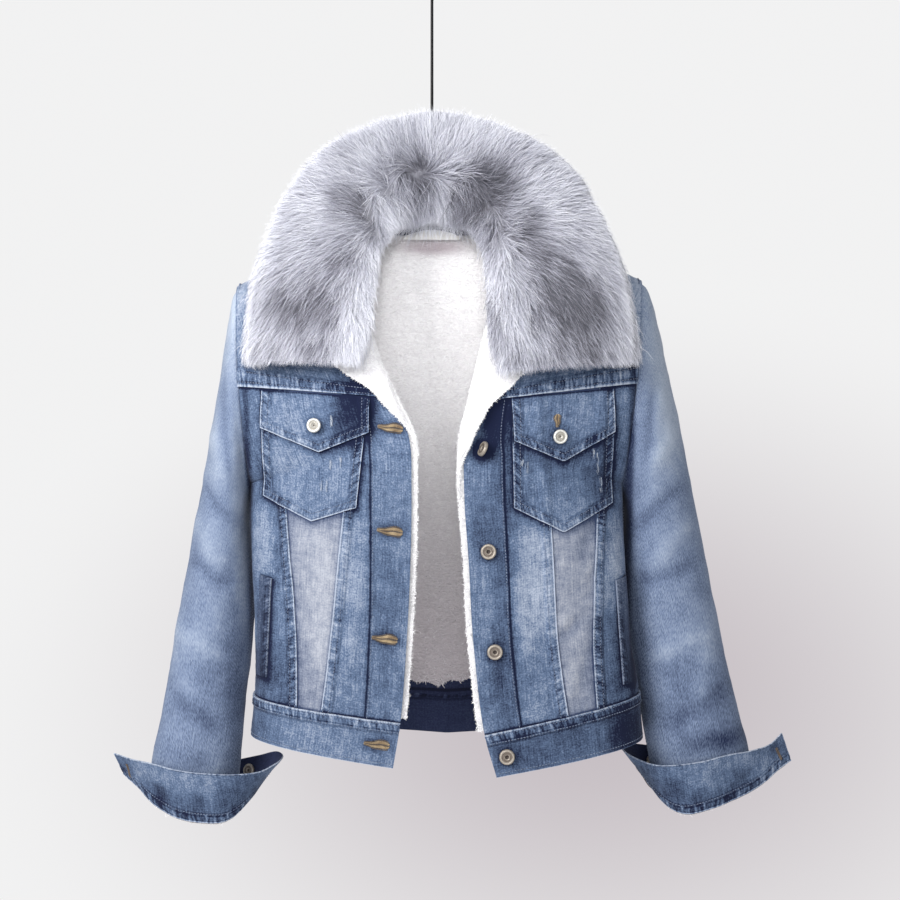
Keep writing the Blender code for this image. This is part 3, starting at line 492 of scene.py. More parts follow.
@dataclass
class Form:
    """A cloth form held as a dense lattice of points, read anywhere by (u, v).

    points has a row for each level of v and a column for each u. The cloth's face looks along facing,
    or away from around, or else away from the middle of each row.
    """

    points: Array
    u_span: tuple[float, float] = (0.0, 1.0)
    v_span: tuple[float, float] = (0.0, 1.0)
    facing: tuple[float, float, float] | None = None
    around: Array | None = None
    normals: Array = field(init=False)
    arc_u: Array = field(init=False)
    arc_v: Array = field(init=False)

    def __post_init__(self) -> None:
        """Works out the normals and the lengths along both directions of the lattice."""
        self.normals = unit(np.cross(np.gradient(self.points, axis=1), np.gradient(self.points, axis=0)))
        middle = self.points.mean(axis=1, keepdims=True) if self.around is None else self.around
        outward = self.points - middle if self.facing is None else np.array(self.facing)
        if (self.normals * outward).sum() < 0:
            self.normals = -self.normals
        self.arc_u, self.arc_v = self._arc(1), self._arc(0)

    def _arc(self, axis: int) -> Array:
        """Length run along the lattice in one direction, from its first line."""
        steps = np.linalg.norm(np.diff(self.points, axis=axis), axis=2)
        start = np.zeros_like(np.take(steps, [0], axis=axis))
        return np.concatenate([start, np.cumsum(steps, axis=axis)], axis=axis)

    def _read(self, table: Array, u: Array, v: Array) -> Array:
        """Reads a table of the lattice between its points."""
        rows, columns = table.shape[:2]
        x = (np.asarray(u, float) - self.u_span[0]) / (self.u_span[1] - self.u_span[0]) * (columns - 1)
        y = (np.asarray(v, float) - self.v_span[0]) / (self.v_span[1] - self.v_span[0]) * (rows - 1)
        i = np.clip(np.floor(x).astype(int), 0, columns - 2)
        j = np.clip(np.floor(y).astype(int), 0, rows - 2)
        a, b = np.clip(x - i, 0, 1), np.clip(y - j, 0, 1)
        if table.ndim == 3:
            a, b = a[..., None], b[..., None]
        low = table[j, i] * (1 - a) + table[j, i + 1] * a
        high = table[j + 1, i] * (1 - a) + table[j + 1, i + 1] * a
        return low * (1 - b) + high * b

    def normal(self, u: Array, v: Array) -> Array:
        """The outward direction at (u, v)."""
        return unit(self._read(self.normals, u, v))

    def at(self, u: Array, v: Array, height: Array | float = 0.0) -> Array:
        """Points of the form at (u, v), moved out by a height."""
        raised = np.broadcast_to(np.asarray(height, float), np.shape(u))[..., None]
        return self._read(self.points, u, v) + self.normal(u, v) * raised

    def threads(self, u: Array, v: Array) -> Array:
        """Places in the flat cloth, metres along u and along v."""
        return np.stack([self._read(self.arc_u, u, v), self._read(self.arc_v, u, v)], axis=-1)

    def width(self, low: Array, high: Array, v: Array) -> Array:
        """Length across the form from one u to another at each v."""
        return np.abs(self._read(self.arc_u, high, v) - self._read(self.arc_u, low, v))

    def unit_width(self, v: float) -> float:
        """Length of one unit of u at a level, metres."""
        return float(self.width(np.array(0.0), np.array(1.0), np.array(v)))

    def find(self, x: Array, z: Array) -> tuple[Array, Array]:
        """The places (u, v) whose points lie at x and z, in metres."""
        u, v, step = np.full(np.shape(x), 0.5), np.full(np.shape(x), 0.5), 0.004
        for _ in range(14):
            here = self.at(u, v)
            du = (self.at(u + step, v) - here) / step
            dv = (self.at(u, v + step) - here) / step
            off_x, off_z = x - here[..., 0], z - here[..., 2]
            slope = du[..., 0] * dv[..., 2] - dv[..., 0] * du[..., 2]
            u = np.clip(u + (off_x * dv[..., 2] - dv[..., 0] * off_z) / slope, -0.02, 0.985)
            v = np.clip(v + (du[..., 0] * off_z - off_x * du[..., 2]) / slope, 0.0, 0.985)
        return u, v


LEVEL_V, LEVEL_ROUND, LEVEL_STRAIGHT = zip(*LEVELS.values())
V_BAND, V_POCKET, V_ARMPIT, V_YOKE = (LEVELS[name][0] for name in ("band", "pocket", "armpit", "yoke"))


def armhole_point(side: Side, degrees: Array, front: bool) -> Array:
    """Points on the armhole, 0 degrees at the armpit and 180 at the shoulder."""
    out_x, out_z, in_x, in_z, mid_y, half_depth = SLEEVE[side][0]
    turn = np.radians(degrees)
    share = (1 - np.cos(turn)) / 2
    depth = -half_depth if front else half_depth
    return np.stack([in_x + (out_x - in_x) * share, mid_y + depth * np.sin(turn),
                     in_z + (out_z - in_z) * share], axis=-1) * MM


def body_row(side: Side, v: float, front: bool) -> tuple[Array, Array]:
    """One level of the body as points along the cloth, with the length run at each."""
    start = smooth(LEVEL_V, FRONT_EDGE[side] if front else CENTRE_BACK, v) * MM
    seam = SIDE_SEAM[side]
    if v <= V_ARMPIT:
        end = smooth(LEVEL_V[:len(seam)], seam, v) * MM
    else:
        end = armhole_point(side, smooth(LEVEL_V[-len(ARMHOLE_DEG):], ARMHOLE_DEG, v), front)
    power = 2.0 / float(smooth(LEVEL_V, LEVEL_ROUND, v))
    straight = float(np.clip(smooth(LEVEL_V, LEVEL_STRAIGHT, v), 0, 1))
    turn = np.linspace(0, math.pi / 2, 241)
    across, rest = np.sin(turn) ** power, np.cos(turn) ** power
    rest[-1] = 0.0
    rest = (1 - straight) * rest + straight * (1 - across)
    line = start + (end - start) * across[:, None]
    line[:, 1] = end[1] + (start[1] - end[1]) * rest
    return line, run_of(line)


def back_top(side: Side, u: Array) -> Array:
    """The back's upper edge: the neck curve up to the neck point, then the shoulder seam."""
    neck, point = np.array(CENTRE_BACK[-1]) * MM, np.array(FRONT_EDGE[side][-1]) * MM
    shoulder = armhole_point(side, np.array(180.0), False)
    neck_share = abs(point[0] - neck[0]) / abs(shoulder[0] - neck[0])
    turn = (math.pi / 2 * np.minimum(u / neck_share, 1.0))[:, None]
    rise = 1 - np.cos(turn)
    curve = neck + (point - neck) * np.concatenate([np.sin(turn), rise, rise], axis=1)
    seam = point + (shoulder - point) * ((u - neck_share) / (1 - neck_share))[:, None]
    return np.where((u < neck_share)[:, None], curve, seam)


def body_form(side: Side, front: bool) -> Form:
    """One side's front or back, from the centre line to the side seam and armhole."""
    low_u = -0.06 if front else 0.0
    places = np.linspace(low_u, 1.0, 213 if front else 201)
    line, length = body_row(side, 1.0, front)
    flat_top = read(places, length / length[-1], line)
    rows = []
    for v in np.linspace(0, 1, 241):
        line, length = body_row(side, float(v), front)
        row = read(places, length / length[-1], line)
        row += unit(line[1] - line[0]) * length[-1] * np.minimum(places, 0.0)[:, None]
        if v > 0.80 and not front:
            row += ((v - 0.80) / 0.20) ** 2 * (back_top(side, np.maximum(places, 0)) - flat_top)
        rows.append(row)
    return Form(np.array(rows), (low_u, 1.0), facing=(0.0, -1.0 if front else 1.0, 0.0))


def sleeve_form(side: Side) -> Form:
    """A sleeve: u turns round it from the inner side, v runs down from the armhole to the wrist."""
    rows = np.array(SLEEVE[side], float) * MM
    turn = np.linspace(-0.02, 1.02, 157)
    mix = (1 - np.cos(2 * math.pi * turn)) / 2
    points = []
    for share in np.linspace(-0.03, 1.0, 201):
        out_x, out_z, in_x, in_z, mid_y, half = by_row(rows, share * (len(rows) - 1))
        points.append(np.stack([in_x + (out_x - in_x) * mix, mid_y - half * np.sin(2 * math.pi * turn),
                                in_z + (out_z - in_z) * mix], axis=1))
    return Form(np.array(points), (-0.02, 1.02), (-0.03, 1.0))


def cuff_edges(side: Side, station: Array) -> tuple[Array, Array]:
    """The cuff's rim and its fold at stations along it."""
    rows = np.array(CUFF[side], float) * MM
    return by_row(rows[:, 0], station), by_row(rows[:, 1], station)


def cuff_form(side: Side) -> Form:
    """A turned-up cuff: u runs along it from the buttonhole end, v from its fold (0) to its rim (1)."""
    rim, fold = cuff_edges(side, np.linspace(0, len(CUFF[side]) - 1, 201))
    wrist = np.array(SLEEVE[side][-1], float) * MM
    rows = [fold + (rim - fold) * v for v in np.linspace(0, 1, 31)]
    return Form(np.array(rows), around=np.array([(wrist[0] + wrist[2]) / 2, wrist[4], fold[:, 2].mean()]))


def waistband_form(fronts: dict[Side, Form], back: Form) -> Form:
    """The hem band: u runs from the right front edge (0) round the back (2) to the left front edge (4)."""
    quarters = np.linspace(0, 4, 601)
    which = np.where(quarters < 1, 0, np.where(quarters <= 3, 1, 2))[:, None]
    top = V_BAND + 0.002
    rows = []
    for v in np.linspace(0, top, 13):
        level = np.full(len(quarters), v)
        rows.append(np.choose(which, [fronts[Side.RIGHT].at(np.minimum(quarters, 1), level),
                                      back.at(np.clip(quarters - 2, -1, 1), level),
                                      fronts[Side.LEFT].at(np.minimum(4 - quarters, 1), level)]))
    return Form(np.array(rows), (0.0, 4.0), (0.0, top))


def hide_point(station: Array, across: Array) -> tuple[Array, Array, Array]:
    """The collar's hide, its forward direction and the depth of the fur on it.

    Args:
        station: places along the collar, counted in rows of its table.
        across: places from the inner edge (0) to the outer edge (1).
    """
    inner_rows, outer_rows, bows, depths = zip(*COLLAR)

    def place(at: Array, share: Array) -> Array:
        """Points of the hide."""
        inner, outer = by_row(inner_rows, at) * MM, by_row(outer_rows, at) * MM
        held = np.clip(share, 0.0, 1.0)
        point = inner + (outer - inner) * share[..., None]
        point[..., 1] -= by_row(bows, at) * MM * 4 * held * (1 - held)
        return point

    along = place(station + 0.05, across) - place(station - 0.05, across)
    over = place(station, across + 0.05) - place(station, across - 0.05)
    forward = unit(np.cross(along, over))
    forward = np.where(forward[..., 1:2] > 0, -forward, forward)
    return place(station, across), forward, by_row(depths, station) * MM


def fur_form(fullness: float) -> Form:
    """The fur's outline at a share of its depth: u runs along the collar, v round its section."""
    count = len(FUR_SECTION)
    stations = np.linspace(0, len(COLLAR) - 1, 157)
    rows = []
    for place in np.linspace(0, count, 97):
        across, rise = by_row(FUR_SECTION + FUR_SECTION[:1], place)
        across = 0.49 + (across - 0.49) * (1 - (1 - fullness) * 0.46)
        hide, forward, depth = hide_point(stations, np.full(len(stations), float(across)))
        rows.append(hide + forward * (depth * rise * fullness)[:, None])
    points = np.array(rows)
    return Form(points, v_span=(0.0, float(count)), around=points.mean(axis=0, keepdims=True))


# ---- Folds and washes

def folded(creases: Rows, points: Array) -> Array:
    """The height of soft folds at points.

    Args:
        creases: rows of a fold's start (x, z), its end (x, z), its width and its depth, which is below 0
            for a trough and above it for a ridge, millimetres.
        points: where to read them.
    """
    x, z = points[..., 0], points[..., 2]
    total = np.zeros(points.shape[:-1])
    for x0, z0, x1, z1, width, depth in creases:
        start = np.array([x0, z0]) * MM
        run = np.array([x1, z1]) * MM - start
        length = np.hypot(*run)
        along = ((x - start[0]) * run[0] + (z - start[1]) * run[1]) / length**2
        off = ((x - start[0]) * run[1] - (z - start[1]) * run[0]) / length
        off = off + 0.18 * width * MM * np.sin(along * 7.0 + x0)
        fade = ease(-0.12, 0.25, along) * (1 - ease(0.7, 1.12, along))
        total = total + depth * MM * hump(off, 0.0, width * MM) * fade
    return total


def shading(washes_and_shades: Rows, points: Array) -> Array:
    """How faded or dark the cloth is at points: above 0 faded cloth and painted light, below 0 unfaded cloth and
    painted shade.

    Args:
        washes_and_shades: rows of a soft patch's middle (x, z), its reach along x and z, millimetres, its strength,
            and how far it leans.
        points: where to read them.
    """
    total = np.zeros(points.shape[:-1])
    for row in washes_and_shades:
        x, z, reach_x, reach_z, amount, lean = (*row, 0.0)[:6]
        down = points[..., 2] / MM - z
        off = (points[..., 0] / MM - x - lean * down) / reach_x
        total = total + amount * np.exp(-((off**2 + (down / reach_z) ** 2) ** 1.4))
    return total


def beyond(corners: Rows, x: Array, z: Array) -> Array:
    """Distance outside a flap, pocket or welt of the given corners, below 0 inside it, metres."""
    head_in, head_out, foot_in, tip, foot_out = np.array(corners) * MM
    spots = np.array([head_in, head_out, foot_out, tip, foot_in])
    inside, nearest = np.zeros(np.shape(x), bool), np.full(np.shape(x), 1.0)
    for (x0, z0), (x1, z1) in zip(spots, np.roll(spots, -1, axis=0)):
        run_x, run_z = x1 - x0, z1 - z0
        share = np.clip(((x - x0) * run_x + (z - z0) * run_z) / (run_x**2 + run_z**2), 0, 1)
        nearest = np.minimum(nearest, np.hypot(x - x0 - share * run_x, z - z0 - share * run_z))
        inside ^= ((z0 > z) != (z1 > z)) & (x < x0 + (z - z0) * run_x / (run_z or 1.0))
    return np.where(inside, -nearest, nearest)


# ---- Shader expressions

class Value:
    """A number that changes over a surface, written with Python's operators."""

    def __init__(self, graph: Graph, socket: Socket) -> None:
        """Wraps a socket of a graph."""
        self.graph = graph
        self.socket = socket

    def __add__(self, other: Value | float) -> Value:
        """This value plus another."""
        return self.graph.math("ADD", self, other)

    __radd__ = __add__

    def __sub__(self, other: Value | float) -> Value:
        """This value less another."""
        return self.graph.math("SUBTRACT", self, other)

    def __rsub__(self, other: float) -> Value:
        """A number less this value."""
        return self.graph.math("SUBTRACT", other, self)

    def __mul__(self, other: Value | float) -> Value:
        """This value times another."""
        return self.graph.math("MULTIPLY", self, other)

    __rmul__ = __mul__

    def between(self, low: float, high: float) -> Value:
        """A soft step of this value, from 0 at low to 1 at high."""
        return self.graph.value("ShaderNodeMapRange", {"interpolation_type": "SMOOTHSTEP"},
                                {"Value": self, "From Min": low, "From Max": high})

    def near(self, place: float, reach: float) -> Value:
        """A soft line: 1 where this value is at a place, 0 from a reach away."""
        return self.between(place - reach, place) * (1 - self.between(place, place + reach))

    def held(self) -> Value:
        """This value kept from 0 to 1."""
        return self.graph.value("ShaderNodeClamp", {}, {"Value": self})


class Nodes:
    """A tree of nodes."""

    def __init__(self, tree: bpy.types.NodeTree) -> None:
        """Starts with an empty tree."""
        self.tree = tree
        tree.nodes.clear()

    def feed(self, socket: Socket, value: object) -> None:
        """Links a value or a socket to a socket, or sets its number or colour."""
        if isinstance(value, Value):
            value = value.socket
        if isinstance(value, Socket):
            self.tree.links.new(value, socket)
        elif socket.type == "RGBA" and len(value) == 3:
            socket.default_value = (*value, 1.0)
        else:
            socket.default_value = value

    def node(self, kind: str, settings: dict | None = None, sockets: dict | None = None) -> bpy.types.Node:
        """Adds a node.

        Args:
            kind: the node's type.
            settings: its settings, set first; "stops" holds a ramp's places and colours.
            sockets: values or links of its inputs, by name or number.

        Returns:
            The new node.
        """
        made = self.tree.nodes.new(kind)
        for key, setting in (settings or {}).items():
            if key == "stops":
                points = made.color_ramp.elements
                while len(points) < len(setting):
                    points.new(1.0)
                for point, (place, colour) in zip(points, setting):
                    point.position, point.color = place, (*colour, 1.0)
            else:
                setattr(made, key, setting)
        for key, value in (sockets or {}).items():
            self.feed(made.inputs[key], value)
        return made

    def ramp(self, share: object, stops: Sequence[tuple[float, Colour]]) -> Socket:
        """A colour read from stops."""
        return self.node("ShaderNodeValToRGB", {"stops": stops}, {0: share}).outputs[0]


class Graph(Nodes):
    """The nodes of one material, ending in one Principled shader."""

    def __init__(self, name: str, **constants: float | Colour) -> None:
        """Starts a material.

        Args:
            name: the material's name.
            constants: numbers and colours that are the same all over, by socket, spaces as "_".
        """
        self.material = bpy.data.materials.new(name)
        self.material.use_nodes = True
        super().__init__(self.material.node_tree)
        self.shader = self.node("ShaderNodeBsdfPrincipled", {},
                                {key.replace("_", " "): value for key, value in constants.items()})
        self.node("ShaderNodeOutputMaterial", {}, {"Surface": self.shader.outputs[0]})

    def value(self, kind: str, settings: dict, sockets: dict) -> Value:
        """Adds a node, for the value of its first output."""
        return Value(self, self.node(kind, settings, sockets).outputs[0])

    def math(self, operation: str, first: Value | float, second: Value | float) -> Value:
        """A Math node of two values."""
        return self.value("ShaderNodeMath", {"operation": operation}, {0: first, 1: second})

    def noise(self, place: Socket, scale: float, detail: float = 2.0, roughness: float = 0.5,
              distortion: float = 0.0) -> Value:
        """Cloudy noise from 0 to 1.

        Args:
            place: the coordinates, metres.
            scale: clouds in a metre.
            detail: finer levels.
            roughness: how strong the finer levels are.
            distortion: how far the clouds curl.
        """
        return self.value("ShaderNodeTexNoise", {}, {"Vector": place, "Scale": scale, "Detail": detail,
                                                     "Roughness": roughness, "Distortion": distortion})

    def scaled(self, place: Socket, *scale: float) -> Socket:
        """Coordinates stretched on each axis."""
        return self.node("ShaderNodeMapping", {}, {"Vector": place, "Scale": scale}).outputs[0]

    def mix(self, share: Value | float, first: object, second: object, blend: str = "MIX") -> Socket:
        """A colour between two colours."""
        return self.node("ShaderNodeMix", {"data_type": "RGBA", "blend_type": blend},
                         {0: share, 6: first, 7: second}).outputs[2]

    def attribute(self, name: str) -> tuple[Value, Value, Value]:
        """The three numbers that a piece stores under a name."""
        stored = self.node("ShaderNodeAttribute", {"attribute_name": name}).outputs["Vector"]
        x, y, z = self.node("ShaderNodeSeparateXYZ", {}, {0: stored}).outputs
        return Value(self, x), Value(self, y), Value(self, z)

    def vector(self, *parts: Value | float) -> Socket:
        """Coordinates from three values."""
        return self.node("ShaderNodeCombineXYZ", {}, dict(enumerate(parts))).outputs[0]

    def place(self) -> Socket:
        """Object coordinates, metres."""
        return self.node("ShaderNodeTexCoord").outputs["Object"]

    def threads(self) -> Socket:
        """The cloth's own coordinates, metres across and along its threads."""
        return self.node("ShaderNodeUVMap", {"uv_map": "threads"}).outputs[0]

    def finish(self, colour: object, height: Value | None = None, depth: float = 0.0,
               roughness: Value | None = None) -> Material:
        """Feeds the shader.

        Args:
            colour: the base colour.
            height: the relief, from 0 to 1.
            depth: how deep the relief is, metres.
            roughness: the roughness, where it changes over the surface.

        Returns:
            The finished material.
        """
        self.feed(self.shader.inputs["Base Color"], colour)
        if roughness is not None:
            self.feed(self.shader.inputs["Roughness"], roughness)
        if height is not None:
            bump = self.node("ShaderNodeBump", {}, {"Strength": 1.0, "Distance": depth, "Height": height})
            self.feed(self.shader.inputs["Normal"], bump.outputs[0])
        return self.material


# ---- Finishes

def blend(first: Colour, second: Colour, share: float = 0.5) -> Colour:
    """A colour between two colours."""
    return tuple(a * (1 - share) + b * share for a, b in zip(first, second))


@dataclass(frozen=True)
class Denim:
    """Washed twill: speckled, streaked along its threads, pale on its worn edges, dark beside seams with painted
    contact shadow, and with painted shade in its folds and stitch grooves.
    """

    name: str
    deep: Colour
    base: Colour
    faded: Colour
    speckle: float = 0.55
    streak: float = 0.35
    cloud: float = 0.45

    def make(self) -> Material:
        """Builds the material."""
        g = Graph(self.name, Roughness=0.86, Sheen_Weight=0.05, Sheen_Roughness=0.5, Specular_IOR_Level=0.14)
        threads, place = g.threads(), g.place()
        edge, lee, along = g.attribute("edges")
        fade, dark, relief = g.attribute("wash")
        fleck = g.noise(threads, 520, 2, 0.6)
        grain = g.noise(threads, 1500, 1, 0.5)
        slub = g.noise(g.scaled(threads, 620, 30, 1), 1, 2, 0.6)
        pick = g.noise(g.scaled(threads, 60, 900, 1), 1, 1, 0.5)
        cloud = g.noise(place, 22, 3, 0.6)
        blotch = g.noise(place, 120, 3, 0.6)
        rope = g.noise(g.vector(along * 215 + edge * 60, edge * 55, 0.0), 1, 2, 0.6)
        band = 1 - edge.between(0.0088, 0.0112)
        worn = 1 - edge.between(0.0003, 0.0016)
        # groove: painted shade along the sunken stitch rows.
        groove = edge.near(0.0023, 0.0010) + edge.near(0.0083, 0.0013)
        # gutter: a dark line beside laps and patches, painted contact shadow over unfaded indigo.
        gutter = (1 - lee.between(0.0004, 0.0028)) * 0.46 + (1 - lee.between(0.0, 0.008)) * 0.12
        tone = (0.5 + (fleck - 0.5) * self.speckle * 1.5 + (slub - 0.5) * self.streak * 1.5
                + (pick - 0.5) * 0.18 + (cloud - 0.5) * self.cloud + (blotch - 0.5) * self.cloud)
        # fade brings faded cloth and painted light; dark brings unfaded cloth, painted shade and the patches'
        # painted shadows.
        tone = tone + fade * (0.34 + (blotch + slub) * 0.14) - dark * (0.26 + (fleck + blotch) * 0.10)
        calm = (1 - fade * 3.0).held() * 0.62 + 0.38
        # relief darkens the folds' troughs and lightens their ridges: painted shade, with faded whiskers on the
        # ridges.
        tone = tone + relief * 0.16 + band * calm * (rope - 0.54) * 1.9 + worn * (0.28 + rope * 0.4)
        # The dark line just past the seam band is painted shade in the crease at its foot.
        tone = tone - calm * (groove * (0.46 - rope * 0.4) + gutter + edge.near(0.0114, 0.0026) * 0.16)
        colour = g.ramp(tone.held(), [(0.04, self.deep), (0.30, blend(self.deep, self.base)), (0.50, self.base),
                                      (0.74, blend(self.base, self.faded)), (0.97, self.faded)])
        height = grain * 0.25 + fleck * 0.25 + slub * 0.15 + pick * 0.10 + band * rope * 0.5
        return g.finish(colour, height.held(), 0.50 * MM, 0.80 + fleck * 0.12)


@dataclass(frozen=True)
class Fleece:
    """Curly pile: pale crests over warm hollows of painted shade, greyer where painted shade falls."""

    name: str
    crest: Colour
    hollow: Colour
    # worn: the tint that painted shade multiplies in, not wear
    worn: Colour

    def make(self) -> Material:
        """Builds the material."""
        g = Graph(self.name, Roughness=0.95, Sheen_Weight=0.35, Sheen_Roughness=0.6, Specular_IOR_Level=0.1)
        place = g.place()
        # The second stored number is painted shade on the fleece.
        _, painted_shade, _ = g.attribute("wash")
        curl = g.noise(g.scaled(place, 150, 300, 330), 1, 2, 0.6, 1.6)
        mass = curl * 0.66 + g.noise(place, 95, 2, 0.5) * 0.16 + g.noise(place, 1100, 2, 0.6) * 0.18
        # Hollows between the crests get the darker colour: painted shade.
        colour = g.mix(((mass - 0.36) * 3.6).held(), self.hollow, self.crest)
        return g.finish(g.mix(painted_shade, colour, self.worn, "MULTIPLY"), mass, 2.8 * MM)


@dataclass(frozen=True)
class Hair:
    """Long hair, dark at its roots and pale at its tips."""

    name: str
    root: Colour
    middle: Colour
    tip: Colour

    def make(self) -> Material:
        """Builds the material."""
        g = Graph(self.name, Roughness=0.55, Sheen_Weight=0.15, Specular_IOR_Level=0.3)
        run, tone, chance = g.attribute("strand")
        share = (run * 0.60 + (tone - 0.5) * 0.95 + (chance - 0.5) * 0.42 + 0.13).held()
        low = blend(self.root, self.middle, 0.55)
        return g.finish(g.ramp(share, [(0.0, self.root), (0.24, low), (0.50, self.middle), (0.90, self.tip)]))


@dataclass(frozen=True)
class TwoTone:
    """A finish between two colours."""

    name: str
    low: Colour
    high: Colour


class Pile(TwoTone):
    """The dense under-hair, between the long strands."""

    def make(self) -> Material:
        """Builds the material."""
        g = Graph(self.name, Roughness=0.9, Sheen_Weight=0.3, Specular_IOR_Level=0.1)
        place = g.place()
        _, tone, _ = g.attribute("strand")
        hair = g.noise(g.scaled(place, 900, 900, 130), 1, 3, 0.6)
        tuft = g.noise(place, 70, 3, 0.6)
        share = (hair * 0.45 + tuft * 0.3 + tone * 0.65 - 0.35).held()
        return g.finish(g.mix(share, self.low, self.high), hair * 0.6 + tuft * 0.4, 3.0 * MM)


class Thread(TwoTone):
    """Twisted sewing thread."""

    def make(self) -> Material:
        """Builds the material."""
        g = Graph(self.name, Roughness=0.7, Sheen_Weight=0.2, Specular_IOR_Level=0.3)
        place = g.place()
        twist = g.noise(place, 1600, 1, 0.5)
        share = (twist * 0.6 + g.noise(place, 90, 2, 0.6) * 1.5 - 0.62).held()
        return g.finish(g.mix(share, self.low, self.high), twist, 0.15 * MM)


class Wire(TwoTone):
    """Coated wire with a slight orange peel and rubbed spots."""

    def make(self) -> Material:
        """Builds the material."""
        g = Graph(self.name, Specular_IOR_Level=0.15)
        place = g.place()
        rub = g.noise(place, 60, 3, 0.7).between(0.58, 0.78)
        return g.finish(g.mix(rub, self.low, self.high), g.noise(place, 900, 2, 0.5), 0.1 * MM, 0.42 + rub * 0.25)


class Tape(TwoTone):
    """Smooth woven tape."""

    def make(self) -> Material:
        """Builds the material."""
        g = Graph(self.name, Roughness=0.6, Sheen_Weight=0.2, Specular_IOR_Level=0.3)
        threads = g.threads()
        warp = g.noise(g.scaled(threads, 2600, 200, 1), 1, 1, 0.5)
        weave = warp * 0.5 + g.noise(g.scaled(threads, 200, 2600, 1), 1, 1, 0.5) * 0.5
        return g.finish(g.mix(weave, self.low, self.high), weave, 0.2 * MM)


class Paint(TwoTone):
    """The studio floor's matt paint."""

    def make(self) -> Material:
        """Builds the material."""
        g = Graph(self.name, Roughness=0.8, Specular_IOR_Level=0.2)
        place = g.place()
        return g.finish(g.mix(g.noise(place, 3, 3, 0.5), self.low, self.high), g.noise(place, 160, 2, 0.5),
                        0.4 * MM)


@dataclass(frozen=True)
class Plated:
    """Worn plating on a pressed button: bright beading on the rim, and a dark eye in the middle that is painted
    shade for its centre hole.
    """

    name: str
    rim: Colour
    worn: Colour
    dish: Colour
    eye: float

    def make(self) -> Material:
        """Builds the material."""
        g = Graph(self.name, Specular_IOR_Level=0.6)
        reach, around, _ = g.attribute("turn")
        cloud = g.noise(g.place(), 420, 3, 0.6)
        beads = g.math("PINGPONG", around * 3.183, 0.5) * 2
        ring = reach.between(self.eye + 0.10, self.eye + 0.22) * (1 - reach.between(0.62, 0.74))
        shade = cloud * 0.9 + 0.22 - ring * (1.10 - beads * 0.60) - reach.near(0.95, 0.06) * 0.2
        metal = g.mix(shade.held(), self.worn, self.rim)
        # The dark eye is painted shade standing for the centre hole.
        inner = 1 - reach.between(self.eye, self.eye + 0.12)
        g.feed(g.shader.inputs["Metallic"], (0.45 - inner * 0.3).held())
        return g.finish(g.mix((inner * 0.96).held(), metal, self.dish), ring * beads * 0.7 + cloud * 0.3,
                        0.25 * MM, 0.34 + cloud * 0.24 + inner * 0.2)


FINISHES = {
    "body": Denim("denim", (0.006, 0.010, 0.034), (0.098, 0.145, 0.243), (0.39, 0.44, 0.54)),
    "middle": Denim("denim_bleached", (0.034, 0.050, 0.105), (0.172, 0.200, 0.275), (0.42, 0.44, 0.50),
                    speckle=0.40, streak=0.32, cloud=0.50),
    "sleeve": Denim("denim_sleeve", (0.012, 0.020, 0.060), (0.166, 0.218, 0.335), (0.40, 0.46, 0.56),
                    speckle=0.75, streak=0.2, cloud=0.18),
    "dark": Denim("denim_dark", (0.008, 0.012, 0.032), (0.050, 0.072, 0.130), (0.22, 0.26, 0.35)),
    "inside": Denim("denim_inside", (0.008, 0.010, 0.028), (0.022, 0.030, 0.074), (0.060, 0.075, 0.13),
                    streak=0.2, cloud=0.2),
    # Fleeces: crest colour, hollow colour of painted shade in the curls, and the tint of painted shade.
    "fleece": Fleece("fleece_white", (0.95, 0.95, 0.96), (0.76, 0.74, 0.77), (0.9, 0.86, 0.87)),
    "lining": Fleece("fleece_lining", (0.98, 0.97, 0.98), (0.80, 0.78, 0.80), (0.56, 0.50, 0.53)),
    "curl": Hair("fleece_curls", (0.70, 0.66, 0.69), (0.92, 0.91, 0.93), (0.97, 0.97, 0.98)),
    "fray": Hair("frayed_threads", (0.24, 0.29, 0.39), (0.44, 0.48, 0.55), (0.66, 0.68, 0.70)),
    "hair": Hair("fur_hair", (0.105, 0.105, 0.132), (0.47, 0.475, 0.555), (0.80, 0.81, 0.87)),
    "pile": Pile("fur_pile", (0.13, 0.13, 0.155), (0.56, 0.565, 0.64)),
    "thread": Thread("seam_thread", (0.060, 0.085, 0.160), (0.30, 0.36, 0.47)),
    "tan_thread": Thread("buttonhole_thread", (0.10, 0.055, 0.030), (0.60, 0.47, 0.28)),
    "brown_thread": Thread("edge_thread", (0.060, 0.042, 0.034), (0.20, 0.15, 0.115)),
    "brass": Plated("brass_plate", (0.50, 0.45, 0.385), (0.15, 0.12, 0.10), (0.030, 0.018, 0.015), 0.20),
    "silver": Plated("silver_plate", (0.88, 0.88, 0.85), (0.36, 0.34, 0.30), (0.10, 0.08, 0.06), 0.11),
    "wire": Wire("black_wire", (0.004, 0.004, 0.005), (0.020, 0.020, 0.022)),
    "tape": Tape("white_tape", (0.66, 0.64, 0.62), (0.86, 0.85, 0.83)),
    "floor": Paint("pale_floor", (0.74, 0.73, 0.735), (0.80, 0.79, 0.795)),
}


# ---- Making cloth

def lumps(points: Array, size: float, seed: int) -> Array:
    """Soft random lumps between -1 and 1.

    Args:
        points: where to read them, metres.
        size: the distance between lumps, metres.
        seed: which lumps.
    """
    count = 32
    table = np.random.default_rng(seed).uniform(-1, 1, (count, count, count))
    scaled = points / size
    low = np.floor(scaled).astype(int)
    part = scaled - low
    part = part * part * (3 - 2 * part)
    total = np.zeros(points.shape[:-1])
    for corner in range(8):
        step = np.array([corner & 1, corner >> 1 & 1, corner >> 2 & 1])
        i, j, k = np.moveaxis((low + step) % count, -1, 0)
        total += np.prod(np.where(step, part, 1 - part), axis=-1) * table[i, j, k]
    return total


